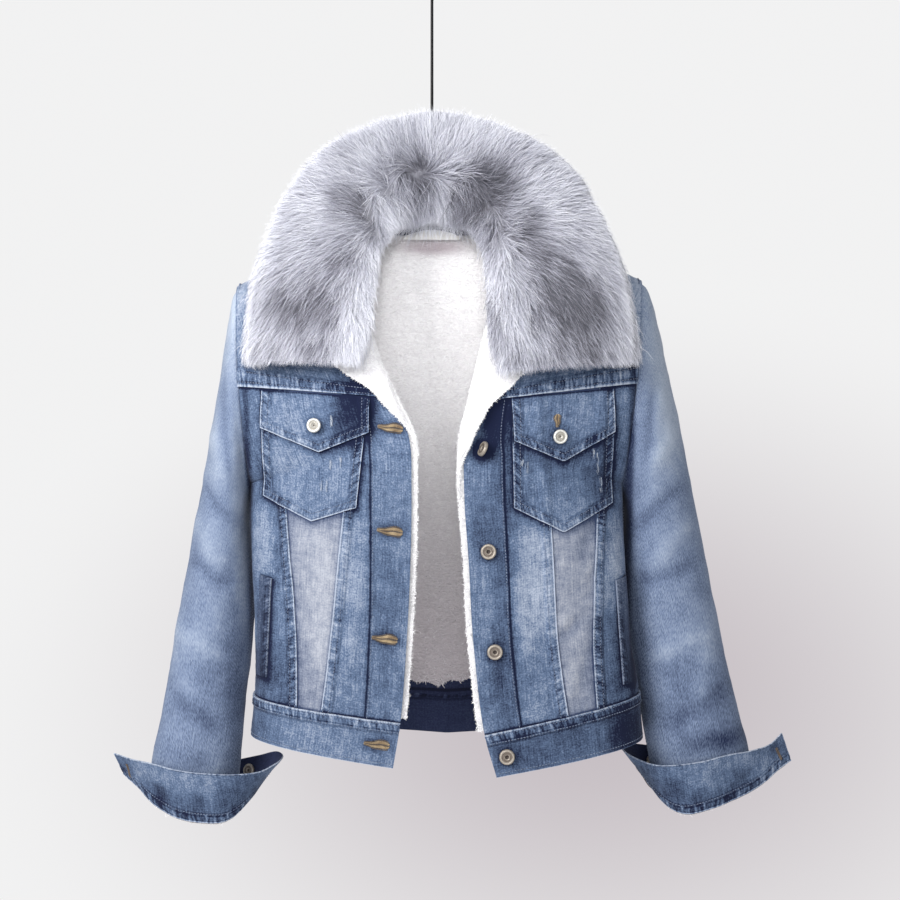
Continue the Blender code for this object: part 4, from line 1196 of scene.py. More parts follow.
def link(name: str, mesh: Mesh, material: Material, inside: Material | None = None) -> Object:
    """Makes a named object of a mesh, in the scene, with its one or two materials."""
    obj = bpy.data.objects.new(name, mesh)
    bpy.context.scene.collection.objects.link(obj)
    mesh.materials.append(material)
    if inside:
        mesh.materials.append(inside)
    return obj


def store(mesh: Mesh, name: str, *columns: Array) -> None:
    """Stores three numbers for each vertex of a mesh."""
    layer = mesh.attributes.new(name, "FLOAT_VECTOR", "POINT")
    layer.data.foreach_set("vector", np.stack(columns, axis=1).astype(np.float32).ravel())


def register(obj: Object, slot: str, *nodes: str) -> Object:
    """Ties a finished piece to the jacket and hides the CAD nodes that it stands for."""
    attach(obj, "root")
    if nodes:
        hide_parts(*nodes)
    LOG.info("%s: %d triangles", obj.name, sum(len(face.vertices) - 2 for face in obj.data.polygons))
    return obj


def joined(name: str, points: Array, faces: list[tuple[int, ...]]) -> Mesh:
    """One smooth mesh of many small loose pieces."""
    mesh = bpy.data.meshes.new(name)
    mesh.from_pydata(points.tolist(), [], faces)
    mesh.shade_smooth()
    return mesh


# Knots across each kind of seam, millimetres in from the edge.
KNOTS = {
    Seam.OVER: (0.0, 0.7, 1.5, 2.2, 3.2, 5.2, 7.2, 8.2, 9.3, 10.4, 11.6, 13.4),
    Seam.UNDER: (-5.0, -2.0, 0.0, 1.8, 4.2),
    Seam.BARE: (0.0, 0.8, 2.4),
    Seam.FLAT: (0.0, 0.6, 1.2, 1.9, 2.6, 3.6, 5.0),
    Seam.MEET: (0.0, 1.8, 4.2),
    Seam.FOLD: (0.0, 0.9, 1.7, 3.0),
}


@dataclass
class Panel:
    """One piece of cloth that lies on a form.

    place turns (s, t), each from 0 to 1 over the piece, into (u, v) on the form. seams are its edges
    at s = 0, s = 1, t = 0 and t = 1. base is the height of its inner face over the form, lift adds to
    its raised seams where they cross a seam beneath, and patches are the corners of what lies on it.
    """

    name: str
    form: Form
    place: Place
    seams: tuple[Seam, Seam, Seam, Seam]
    base: Height | None = None
    lift: Height | None = None
    creases: Rows = ()
    washes_and_shades: Rows = ()
    patches: Sequence[Rows] = ()
    wall: float = DENIM
    rise: float = LAP_RISE
    pitch: float = 3.6 * MM
    pucker: float = 0.9 * MM
    lump: float = 0.35 * MM
    closed: bool = False
    seed: int = 1
    across: Array = field(init=False)
    along: Array = field(init=False)
    area: float = field(init=False)

    def __post_init__(self) -> None:
        """Measures the piece across and along."""
        shares = np.linspace(0, 1, 65)
        points = self.form.at(*self.place(*np.meshgrid(shares, shares)))
        over, up = np.diff(points, axis=1), np.diff(points, axis=0)
        self.across = np.linalg.norm(over, axis=2).sum(axis=1)
        self.along = np.linalg.norm(up, axis=2).sum(axis=0)
        self.area = float(np.linalg.norm(np.cross(over[:-1], up[:, :-1]), axis=2).sum())

    def widths(self, t: Array) -> Array:
        """Length across the piece at each t."""
        return np.interp(np.clip(t, 0, 1), np.linspace(0, 1, 65), self.across)

    def heights(self, s: Array) -> Array:
        """Length along the piece at each s."""
        return np.interp(np.clip(s, 0, 1), np.linspace(0, 1, 65), self.along)

    def distances(self, s: Array, t: Array) -> list[tuple[Seam, Array, Array]]:
        """For each edge its seam, and the distance from it and along it, metres."""
        width, height = self.widths(t), self.heights(s)
        across, along = s * width, t * height
        return list(zip(self.seams, (across, (1 - s) * width, along, (1 - t) * height),
                        (along, along, across, across)))

    def relief(self, s: Array, t: Array) -> Array:
        """The height of folds, puckers and lumps, apart from the raised seams."""
        points = self.form.at(*self.place(s, t))
        total = folded(self.creases, points) + self.lump * lumps(points, 22 * MM, 5)
        total = total + 0.5 * self.lump * lumps(points, 8 * MM, 9)
        for number, (seam, gone, run) in enumerate(self.distances(s, t)):
            if seam in (Seam.UNDER, Seam.MEET):
                wave = ripple(run, 11 * MM, self.seed + number)
                total = total + self.pucker * wave * np.exp(-gone / (9 * MM)) * ease(0, 4 * MM, gone)
        return total

    def height(self, s: Array, t: Array) -> Array:
        """The height of the inner face over the form."""
        u, v = self.place(s, t)
        total = self.relief(s, t) + (self.base(u, v) if self.base else 0.0)
        laps = np.zeros(np.shape(s))
        for number, (seam, gone, run) in enumerate(self.distances(s, t)):
            if seam is Seam.FLAT:
                flat = 0.6 * MM * (1 - ease(2.8 * MM, 4.6 * MM, gone))
                laps = np.maximum(laps, flat - 0.3 * MM * hump(gone, 1.9 * MM, 0.7 * MM))
            elif seam is Seam.OVER:
                lap = self.rise * (1 - ease(LAP_WIDTH - 1.2 * MM, LAP_WIDTH + 1.8 * MM, gone))
                if self.lift:
                    lap = lap + self.lift(u, v) * (1 - ease(LAP_WIDTH, LAP_WIDTH + 9 * MM, gone))
                rows = sum(hump(gone, row, 0.8 * MM) for row in STITCH_ROWS)
                rope = ripple(run + gone * 0.4, 5.2 * MM, self.seed + number) * hump(gone, 5.2 * MM, 3.6 * MM)
                laps = np.maximum(laps, lap - 0.40 * MM * rows + 0.50 * MM * rope)
        return total + laps

    def outer(self, s: Array, t: Array, extra: float = 0.0) -> Array:
        """Points on the outer face, moved out by extra."""
        return self.form.at(*self.place(s, t), self.height(s, t) + self.wall + extra)

    def outward(self, s: Array, t: Array) -> Array:
        """The outward direction of the piece."""
        return self.form.normal(*self.place(s, t))

    @staticmethod
    def knots(length: Array, first: Seam, last: Seam, pitch: float) -> Array:
        """Shares of the way along some lengths, close together near the seams.

        Args:
            length: the lengths, metres.
            first: the seam at the start.
            last: the seam at the end.
            pitch: the spacing between, metres.

        Returns:
            A row of shares for each length.
        """
        low, high = np.array(KNOTS[first]) * MM, np.array(KNOTS[last]) * MM
        room = low[-1] + high[-1]
        fit = np.minimum(1.0, 0.9 * length / room)[:, None]
        start, end = low[None, :] * fit, length[:, None] - high[None, ::-1] * fit
        gap = float((length - room).max())
        inner = np.linspace(0, 1, max(int(gap / pitch) + 1, 2))[1:-1][None, :]
        middle = start[:, -1:] + (end[:, :1] - start[:, -1:]) * inner
        return np.concatenate([start, middle, end], axis=1) / length[:, None]

    def mesh(self) -> tuple[Mesh, Array, Array]:
        """The piece's inner face as a mesh, with s and t at each vertex."""
        first, last, low, high = self.seams
        t_row = self.knots(np.array([self.along.mean()]), low, high, self.pitch)[0]
        s_rows = self.knots(self.widths(t_row), first, last, self.pitch)
        if self.closed:
            s_rows = np.tile(np.linspace(0, 1, int(self.across.max() / self.pitch)), (len(t_row), 1))
        rows, columns = s_rows.shape
        bm = bmesh.new()
        bmesh.ops.create_grid(bm, x_segments=columns - 1, y_segments=rows - 1, size=1.0)
        mesh = bpy.data.meshes.new(self.name)
        bm.to_mesh(mesh)
        bm.free()
        spots = np.empty(len(mesh.vertices) * 3, np.float32)
        mesh.vertices.foreach_get("co", spots)
        shares = (spots.reshape(-1, 3)[:, :2] + 1) / 2 * (columns - 1, rows - 1)
        i, j = np.rint(shares).astype(int).T
        return mesh, s_rows[j, i], t_row[j]

    def weave(self, finish: Material, inside: Material) -> Object:
        """Builds the piece with its wall, its outer and inner faces of two materials."""
        mesh, s, t = self.mesh()
        u, v = self.place(s, t)
        points = self.form.at(u, v, self.height(s, t))
        mesh.vertices.foreach_set("co", points.astype(np.float32).ravel())
        # lee is the distance from the nearest lap or patch edge; the denim beside it gets a dark line of painted
        # contact shadow.
        edge, lee, run = np.full(len(s), 1.0), np.full(len(s), 1.0), self.distances(s, t)[2][1]
        for seam, gone, along in self.distances(s, t):
            if seam is Seam.OVER:
                edge, run = np.where(gone < edge, (gone, along), (edge, run))
            elif seam is Seam.FOLD:
                edge = np.minimum(edge, gone + 0.05 * ease(1.0 * MM, 1.7 * MM, gone))
            elif seam in (Seam.UNDER, Seam.MEET):
                lee = np.minimum(lee, np.abs(gone))
            elif seam is Seam.FLAT:
                lee = np.minimum(lee, gone + 1.4 * MM)
        shade = shading(self.washes_and_shades, points)
        dark = np.clip(-shade, 0, 1.7)
        # Each patch adds a painted shadow round it, shifted down and to the right, away from the key light.
        for patch in self.patches:
            lee = np.minimum(lee, beyond(patch, points[:, 0], points[:, 2]) + 0.3 * MM)
            cast = beyond(patch, points[:, 0] - 1.5 * MM, points[:, 2] + 3.0 * MM)
            dark = dark + 0.9 * np.exp(-np.maximum(cast, 0) / (3.5 * MM))
        store(mesh, "edges", edge, lee, run)
        # Stored for the shaders: faded cloth and painted light, dark cloth and painted shade, and the folds'
        # relief.
        store(mesh, "wash", np.clip(shade, 0, 1), np.clip(dark, 0, 1.7),
              np.clip(self.relief(s, t) / (1.6 * MM), -1.4, 1.4))
        corners = np.empty(len(mesh.loops), np.int32)
        mesh.loops.foreach_get("vertex_index", corners)
        threads = self.form.threads(u, v)[corners].astype(np.float32)
        mesh.uv_layers.new(name="threads").data.foreach_set("uv", threads.ravel())
        obj = link(self.name + "_cloth", mesh, finish, inside)
        thicken(obj, self.wall, self.form.normal(u, v), self.closed)
        return obj

    def sew(self, finish: Material, inside: Material, sewing: Stitching | None = None, rows: Iterable[tuple] = (),
            slot: str = "denim", held: str = "hung") -> Panel:
        """Args:
            finish: the outer face's material.
            inside: the inner face's material.
            sewing: where the stitches go.
            rows: the rows of stitches, as sewing's seam method takes them.
            slot: its material slot, not used.
            held: how the sheet is held.
        """
        obj = register(self.weave(finish, inside), slot, self.name)
        size = (round(float(self.across.max()), 4), round(float(self.along.max()), 4))
        share = self.area / (size[0] * size[1])
        round(size[0] * size[1] * min(share, 1.0), 6)
        LOG.info("sheet %s %.0f x %.0f mm, %.4f m2, %s", obj.name, size[0] / MM, size[1] / MM, self.area, held)
        for row in rows:
            sewing.seam(self, *row)
        return self


def thicken(obj: Object, thickness: float, outward: Array, closed: bool) -> None:
    """Gives a surface a wall that grows outwards, with an inner face of the second material.

    Args:
        obj: the surface.
        thickness: the wall, metres.
        outward: the outward direction at each vertex.
        closed: whether the surface is a tube whose two side edges meet.
    """
    surface = obj.data
    bm = bmesh.new()
    bm.from_mesh(surface)
    bm.faces.ensure_lookup_table()
    bm.normal_update()
    middle = bm.faces[len(bm.faces) // 2]
    if middle.normal.dot(Vector(outward[middle.verts[0].index])) < 0:
        bmesh.ops.reverse_faces(bm, faces=bm.faces)
    if closed:
        bmesh.ops.remove_doubles(bm, verts=bm.verts, dist=0.02 * MM)
    bm.to_mesh(surface)
    bm.free()
    solid = obj.modifiers.new("wall", "SOLIDIFY")
    solid.thickness, solid.offset, solid.material_offset = thickness, 1.0, 1
    solid.use_quality_normals = True
    graph = bpy.context.evaluated_depsgraph_get()
    made = bpy.data.meshes.new_from_object(obj.evaluated_get(graph), preserve_all_data_layers=True,
                                           depsgraph=graph)
    obj.modifiers.clear()
    obj.data, made.name = made, obj.name
    bpy.data.meshes.remove(surface)
    made.shade_smooth()
    made.set_sharp_from_angle(angle=math.radians(52))


# ---- Threads and strands

@dataclass
class Stitching:
    """Rows of stitches, made as one joined mesh."""

    name: str
    thread: float = THREAD
    beads: list[tuple[Array, Array, Array, Array | float]] = field(default_factory=list)

    def row(self, line: Array, outward: Array, pitch: float = STITCH_PITCH,
            length: float = STITCH_LENGTH) -> None:
        """Sews along a line.

        Args:
            line: points along the cloth's face.
            outward: the cloth's outward direction at each.
            pitch: from one stitch to the next, metres.
            length: of one stitch, metres.
        """
        run = run_of(line)
        places = np.arange(pitch / 2, run[-1] - length / 2, pitch)
        if len(places):
            ahead = unit(read(places + length / 2, run, line) - read(places - length / 2, run, line))
            self.beads.append((read(places, run, line), ahead, unit(read(places, run, outward)), length))

    def seam(self, panel: Panel, number: int, rows: Sequence[float] = STITCH_ROWS,
             start: float = 0.0, end: float = 1.0) -> None:
        """Sews rows beside one edge of a panel.

        Args:
            panel: the panel.
            number: which edge: s = 0, s = 1, t = 0 or t = 1.
            rows: the rows' distances from the edge, metres.
            start: where they start along the edge.
            end: where they end.
        """
        shares = np.linspace(start, end, 260)
        for row in rows:
            off = row / (panel.widths(shares) if number < 2 else panel.heights(shares))
            off = 1 - off if number % 2 else off
            s, t = (off, shares) if number < 2 else (shares, off)
            self.row(panel.outer(s, t), panel.outward(s, t))

    def make(self, finish: Material) -> None:
        """Builds all the stitches."""
        shape = [(0, 1, 2), (0, 2, 3), (0, 3, 4), (0, 4, 1), (1, 5, 6, 2), (2, 6, 7, 3), (3, 7, 8, 4),
                 (4, 8, 5, 1), (9, 6, 5), (9, 7, 6), (9, 8, 7), (9, 5, 8)]
        ring = [(math.cos(k * math.pi / 2), math.sin(k * math.pi / 2)) for k in range(4)]
        radius = self.thread / 2
        points, faces, count = [], [], 0
        for middle, ahead, outward, length in self.beads:
            beside = unit(np.cross(ahead, outward))
            outward = np.cross(beside, ahead)
            waist = [middle + ahead * length * place + beside * radius * a + outward * radius * (b * 0.8 + 0.45)
                     for place in (-0.27, 0.27) for a, b in ring]
            rows = [middle - ahead * length / 2 - outward * radius * 0.6, *waist,
                    middle + ahead * length / 2 - outward * radius * 0.6]
            points.append(np.stack(rows, axis=1).reshape(-1, 3))
            starts = range(count, count + 10 * len(middle), 10)
            faces += [tuple(start + k for k in face) for start in starts for face in shape]
            count += 10 * len(middle)
        register(link(self.name, joined(self.name, np.concatenate(points), faces), finish), "denim")


@dataclass
class Strands:
    """A field of tapering hairs, made as one joined mesh of ribbons."""

    name: str
    roots: Array
    heading: Array
    bend: Array
    length: Array
    width: Array
    facing: Array
    tone: Array
    seed: int

    def make(self, finish: Material, slot: str, *nodes: str) -> None:
        """Builds the hairs."""
        rng = np.random.default_rng(self.seed)
        count = len(self.roots)
        chance = rng.uniform(0, 1, count)
        runs = (0.0, 0.52, 1.0)
        line = [self.roots + self.length[:, None] * (self.heading * run + self.bend * run**2) for run in runs]
        face = unit(self.facing + rng.normal(0, 0.45, (count, 3)))
        rows = []
        for low, high, thin in ((line[0], line[1], 0.95), (line[1], line[2], 0.85)):
            side = unit(np.cross(unit(high - low), face)) * (self.width * thin / 2)[:, None]
            rows += [low - side, low + side]
        points = np.stack([*rows, line[2]], axis=1).reshape(-1, 3)
        faces = [tuple(start + k for k in part) for start in range(0, 5 * count, 5)
                 for part in ((0, 1, 3, 2), (2, 3, 4))]
        mesh = joined(self.name, points, faces)
        store(mesh, "strand", np.tile(np.repeat(runs, (2, 2, 1)), count), np.repeat(self.tone, 5),
              np.repeat(chance, 5))
        register(link(self.name, mesh, finish), slot, *nodes)


# ---- Places and heights of panels

@dataclass
class Forms:
    """All the forms that the cloth lies on."""

    fronts: dict[Side, Form] = field(init=False)
    back: Form = field(init=False)
    waistband: Form = field(init=False)
    sleeves: dict[Side, Form] = field(init=False)
    cuffs: dict[Side, Form] = field(init=False)

    def __post_init__(self) -> None:
        """Draws the forms from the tables."""
        self.fronts = {side: body_form(side, True) for side in Side}
        right, left = (body_form(side, False).points for side in Side)
        self.back = Form(np.concatenate([right[:, :0:-1], left], axis=1), (-1.0, 1.0), facing=(0.0, 1.0, 0.0))
        self.waistband = waistband_form(self.fronts, self.back)
        self.sleeves = {side: sleeve_form(side) for side in Side}
        self.cuffs = {side: cuff_form(side) for side in Side}


def whole(s: Array, t: Array) -> tuple[Array, Array]:
    """The place of a panel that covers its whole form."""
    return s, t


def body_seam(shares: Sequence[float]) -> Curve:
    """A seam's place u(v), from its shares at the waistband, the pocket's foot and the yoke."""
    return lambda v: np.interp(v, (V_BAND, V_POCKET, V_YOKE), shares)


def straight(u: float) -> Curve:
    """An edge at one u."""
    return lambda v: np.full(np.shape(v), u)


def between(low_u: Curve, high_u: Curve, low_v: float, high_v: float) -> Place:
    """The place of a panel between two edges u(v) and two levels v."""
    def place(s: Array, t: Array) -> tuple[Array, Array]:
        """(u, v) at (s, t)."""
        v = low_v + (high_v - low_v) * t
        start, end = low_u(v), high_u(v)
        return start + (end - start) * s, v
    return place


def crossing(places: Sequence[float], metres: float) -> Height:
    """The extra rise of a seam where others cross beneath it.

    Args:
        places: the crossings, as u.
        metres: the length of one unit of u there.
    """
    return lambda u, _: sum(LAP_RISE * hump((u - place) * metres, 0.0, 9 * MM) for place in places)


def under_yoke(v: Array) -> Array:
    """1 where a pocket or flap goes under the yoke's seam, 0 below it."""
    return ease(V_YOKE - 0.03, V_YOKE - 0.004, v)


# ---- Sub-assemblies

@dataclass
class Body:
    """Panels side by side from the waistband to the yoke, and the yoke above them."""

    forms: Forms
    finishes: Finishes
    stitching: Stitching

    def sew(self, form: Form, cuts: Iterable[tuple], crossings: Sequence[float], seed: int,
            patches: Sequence[Rows] = (), **cloth: object) -> None:
        """Weaves and sews the panels and the yoke.

        Args:
            form: what they lie on.
            cuts: for each its name, its edges u(v), its seams, its finish and its stitched edges.
            crossings: where the seams beneath meet the yoke's seam, as u.
            seed: which puckers.
            patches: the corners of what lies on the panels.
            cloth: what else the panels share.
        """
        lift = crossing(crossings, form.unit_width(V_YOKE))
        for number, (name, low, high, seams, finish, sewn) in enumerate(cuts):
            if seams[2] is Seam.OVER:
                levels, more = (V_YOKE, 1.0), {"lift": lift}
            else:
                levels, more = (V_BAND, V_YOKE), {"patches": patches}
            rows = (1.9 * MM,) if seams[1] is Seam.FLAT else STITCH_ROWS
            Panel(name, form, between(low, high, *levels), seams, seed=seed + number, **more, **cloth).sew(
                self.finishes[finish], self.finishes["inside"], self.stitching, [(edge, rows) for edge in sewn])


@dataclass
class Front(Body):
    """One front: placket, centre, middle and side panels, and the yoke above them."""

    side: Side

    def __post_init__(self) -> None:
        """Reads the seams and the folds of this side."""
        side = self.side
        self.form = self.forms.fronts[side]
        self.seams = {name: body_seam(shares) for name, shares in FRONT_SEAMS[side].items()}
        # Painted shadow round each buttonhole and button.
        if side is Side.RIGHT:
            fastener_shadows = [(x, z, 16.5, 8.0, -0.95) for x, z in BUTTONHOLES]
        else:
            fastener_shadows = [(x - 1, z - 1, 10.8, 10.8, -1.0) for x, z in FRONT_BUTTONS]
        self.creases, self.washes_and_shades = FRONT_CREASES[side], FRONT_WASHES_AND_SHADES[side] + fastener_shadows

    def top(self, u: Array, v: Array) -> Array:
        """The height of the panels' outer face with their raised seams, for what lies on them."""
        metres = self.form.width(np.zeros(np.shape(u)), np.ones(np.shape(u)), v)
        total = np.full(np.shape(u), DENIM)
        for name, way in (("placket", -1), ("inner", -1), ("outer", 1)):
            gone = (u - self.seams[name](v)) * way * metres
            over = ease(-2.5 * MM, -0.2 * MM, gone) * (1 - ease(LAP_WIDTH - 1 * MM, LAP_WIDTH + 2 * MM, gone))
            total = np.maximum(total, DENIM + LAP_RISE * over)
        return total

    def build(self) -> None:
        """Weaves and sews the front."""
        side, start, end = self.side.value, straight(0.0), straight(1.0)
        placket, inner, outer = (self.seams[name] for name in ("placket", "inner", "outer"))
        over, under, bare, meet = Seam.OVER, Seam.UNDER, Seam.BARE, Seam.MEET
        cuts = (("placket_" + side, start, placket, (bare, Seam.FLAT, under, under), "body", [1]),
                ("front_centre_" + side, placket, inner, (under, over, under, under), "body", [1]),
                ("front_middle_" + side, inner, outer, (under, under, under, under), "middle", []),
                ("front_side_" + side, outer, end, (over, meet, under, under), "body", [0]),
                ("front_yoke_" + side, start, end, (bare, meet, over, bare), "body", [2]))
        self.sew(self.form, cuts, [shares[2] for shares in FRONT_SEAMS[self.side].values()], 20,
                 [table[self.side] for table in (POCKET_FLAP, CHEST_POCKET, SIDE_WELT)],
                 creases=self.creases, washes_and_shades=self.washes_and_shades)


@dataclass
class Patches:
    """A front's chest pocket, its pointed flap and the side welt."""

    front: Front

    def corners(self, table: Rows) -> Place:
        """The place of a patch from its five corners (x, z)."""
        head_in, head_out, foot_in, tip, foot_out = np.array(table) * MM
        span = (-0.15, 1.15)
        s, t = np.meshgrid(np.linspace(*span, 53), np.linspace(*span, 53))
        half = s[..., None] * 2
        foot = np.where(half <= 1, foot_in + (tip - foot_in) * half, tip + (foot_out - tip) * (half - 1))
        head = head_in + (head_out - head_in) * s[..., None]
        spot = foot + (head - foot) * t[..., None]
        u, v = self.front.form.find(spot[..., 0], spot[..., 1])
        places = Form(np.stack([u, v, np.zeros_like(u)], axis=2), span, span, (0, 0, 1.0))

        def place(share: Array, rise: Array) -> tuple[Array, Array]:
            """(u, v) at (s, t)."""
            found = places.at(share, rise)
            return found[..., 0], found[..., 1]
        return place

    def pocket(self, u: Array, v: Array) -> Array:
        """The height of the pocket's inner face: it lies on the panels and tucks under the yoke."""
        return self.front.top(u, v) + 0.15 * MM - 1.2 * MM * under_yoke(v)

    def flap(self, u: Array, v: Array) -> Array:
        """The height of the flap over the pocket: it goes under the yoke and stands away at its tip."""
        return self.pocket(u, v) + DENIM + (1.3 - 2.4 * under_yoke(v)) * MM

    def welt(self, u: Array, v: Array) -> Array:
        """The height of the welt."""
        return self.front.top(u, v) + 0.2 * MM

    def build(self) -> None:
        """Weaves and sews the pocket, the flap and the welt."""
        front, side = self.front, self.front.side
        over, bare = Seam.OVER, Seam.BARE
        x, z = POCKET_BUTTONS[side]
        # The flap gets a painted shadow round its button.
        rows, flap_rows_with_button_shadow = (2.0 * MM, 8.2 * MM), front.washes_and_shades + [(x - 1, z - 1, 10.0, 10.0, -0.9)]
        cuts = (
            ("chest_pocket_", CHEST_POCKET, (over, over, over, bare), self.pocket, "body", "denim",
             [(edge, rows, 0.02, 0.98) for edge in range(3)],
             {"seed": 31, "washes_and_shades": front.washes_and_shades, "patches": (POCKET_FLAP[side],)}),
            ("pocket_flap_", POCKET_FLAP, (over, over, over, Seam.MEET), self.flap, "body", "denim",
             [(edge, rows, 0.03, 0.97) for edge in range(3)],
             {"seed": 37, "washes_and_shades": flap_rows_with_button_shadow, "pitch": 3.4 * MM}),
            ("side_welt_", SIDE_WELT, (over, bare, bare, bare), self.welt, "dark", "dark_denim",
             [(0, (1.6 * MM,), 0.02, 0.98)],
             {"seed": 41, "washes_and_shades": front.washes_and_shades, "pitch": 4.0 * MM, "lump": 0.2 * MM}),
        )
        for name, table, seams, base, finish, slot, sewn, more in cuts:
            Panel(name + side.value, front.form, self.corners(table[side]), seams, base=base, rise=0.0,
                  creases=front.creases, **more).sew(front.finishes[finish], front.finishes["inside"],
                                                     front.stitching, sewn, slot)
        self._frays()

    def _frays(self) -> None:
        """The short loose threads where the cloth is rubbed through."""
        rng = np.random.default_rng(47)
        form, side, each = self.front.form, self.front.side, 11
        spots = np.repeat(np.array(FRAYS[side], float), each, axis=0)
        count = len(spots)
        x = (spots[:, 0] + rng.uniform(-1, 1, count) * spots[:, 2]) * MM
        z = (spots[:, 1] + rng.uniform(-1, 1, count) * spots[:, 3]) * MM
        u, v = form.find(x, z)
        height = self.front.top(u, v) + 2 * DENIM + np.where(beyond(POCKET_FLAP[side], x, z) < 0,
                                                             DENIM + 1.6 * MM, 0.6 * MM)
        down = unit(form.at(u, v - 0.01) - form.at(u, v))
        outward = form.normal(u, v)
        Strands("frays_" + side.value, form.at(u, v, height),
                unit(down + rng.normal(0, 0.035, (count, 3)) + outward * 0.05), -outward * 0.05,
                rng.uniform(3.0, 7.0, count) * MM, rng.uniform(0.25, 0.55, count) * MM, outward,
                rng.uniform(0.1, 0.8, count), 48).make(self.front.finishes["fray"], "denim")


class Back(Body):
    """The back's panels: the centre, two sides and the yoke."""

    def build(self) -> None:
        """Weaves and sews the back."""
        left, right = body_seam(BACK_SEAM), body_seam([-share for share in BACK_SEAM])
        start, end = straight(-1.0), straight(1.0)
        over, under, meet = Seam.OVER, Seam.UNDER, Seam.MEET
        cuts = (("back_centre", right, left, (over, over, under, under), "sleeve", [0, 1]),
                ("back_side_right", start, right, (meet, under, under, under), "sleeve", []),
                ("back_side_left", left, end, (under, meet, under, under), "sleeve", []),
                ("back_yoke", start, end, (meet, meet, over, meet), "sleeve", [2]))
        self.sew(self.forms.back, cuts, [-BACK_SEAM[2], BACK_SEAM[2]], 50, creases=BACK_CREASES,
                 washes_and_shades=BACK_WASHES, pitch=5.2 * MM)


class Waistband(Body):
    """The hem band, one strip round the whole jacket."""

    def build(self) -> None:
        """Weaves and sews the band."""
        form = self.forms.waistband
        right, left = ([shares[0] for shares in FRONT_SEAMS[side].values()] for side in Side)
        places = [*right, *(4 - share for share in left), 2 - BACK_SEAM[0], 2 + BACK_SEAM[0]]
        # Painted shadow round the band's buttonhole and button.
        fastener_shadows = [(*BUTTONHOLES[-1], 16.5, 8.0, -0.95), (*FRONT_BUTTONS[-1], 10.8, 10.8, -1.0)]
        Panel("waistband", form, between(straight(0.0), straight(4.0), 0.0, V_BAND),
              (Seam.BARE, Seam.BARE, Seam.FOLD, Seam.OVER), washes_and_shades=BAND_WASHES_AND_SHADES + fastener_shadows,
              wall=WAISTBAND_WALL, pitch=4.6 * MM, seed=61, lift=crossing(places, form.unit_width(V_BAND))).sew(
            self.finishes["body"], self.finishes["inside"], self.stitching,
            [(3, (2.2 * MM, 10.0 * MM)), (2, (4.0 * MM,))])


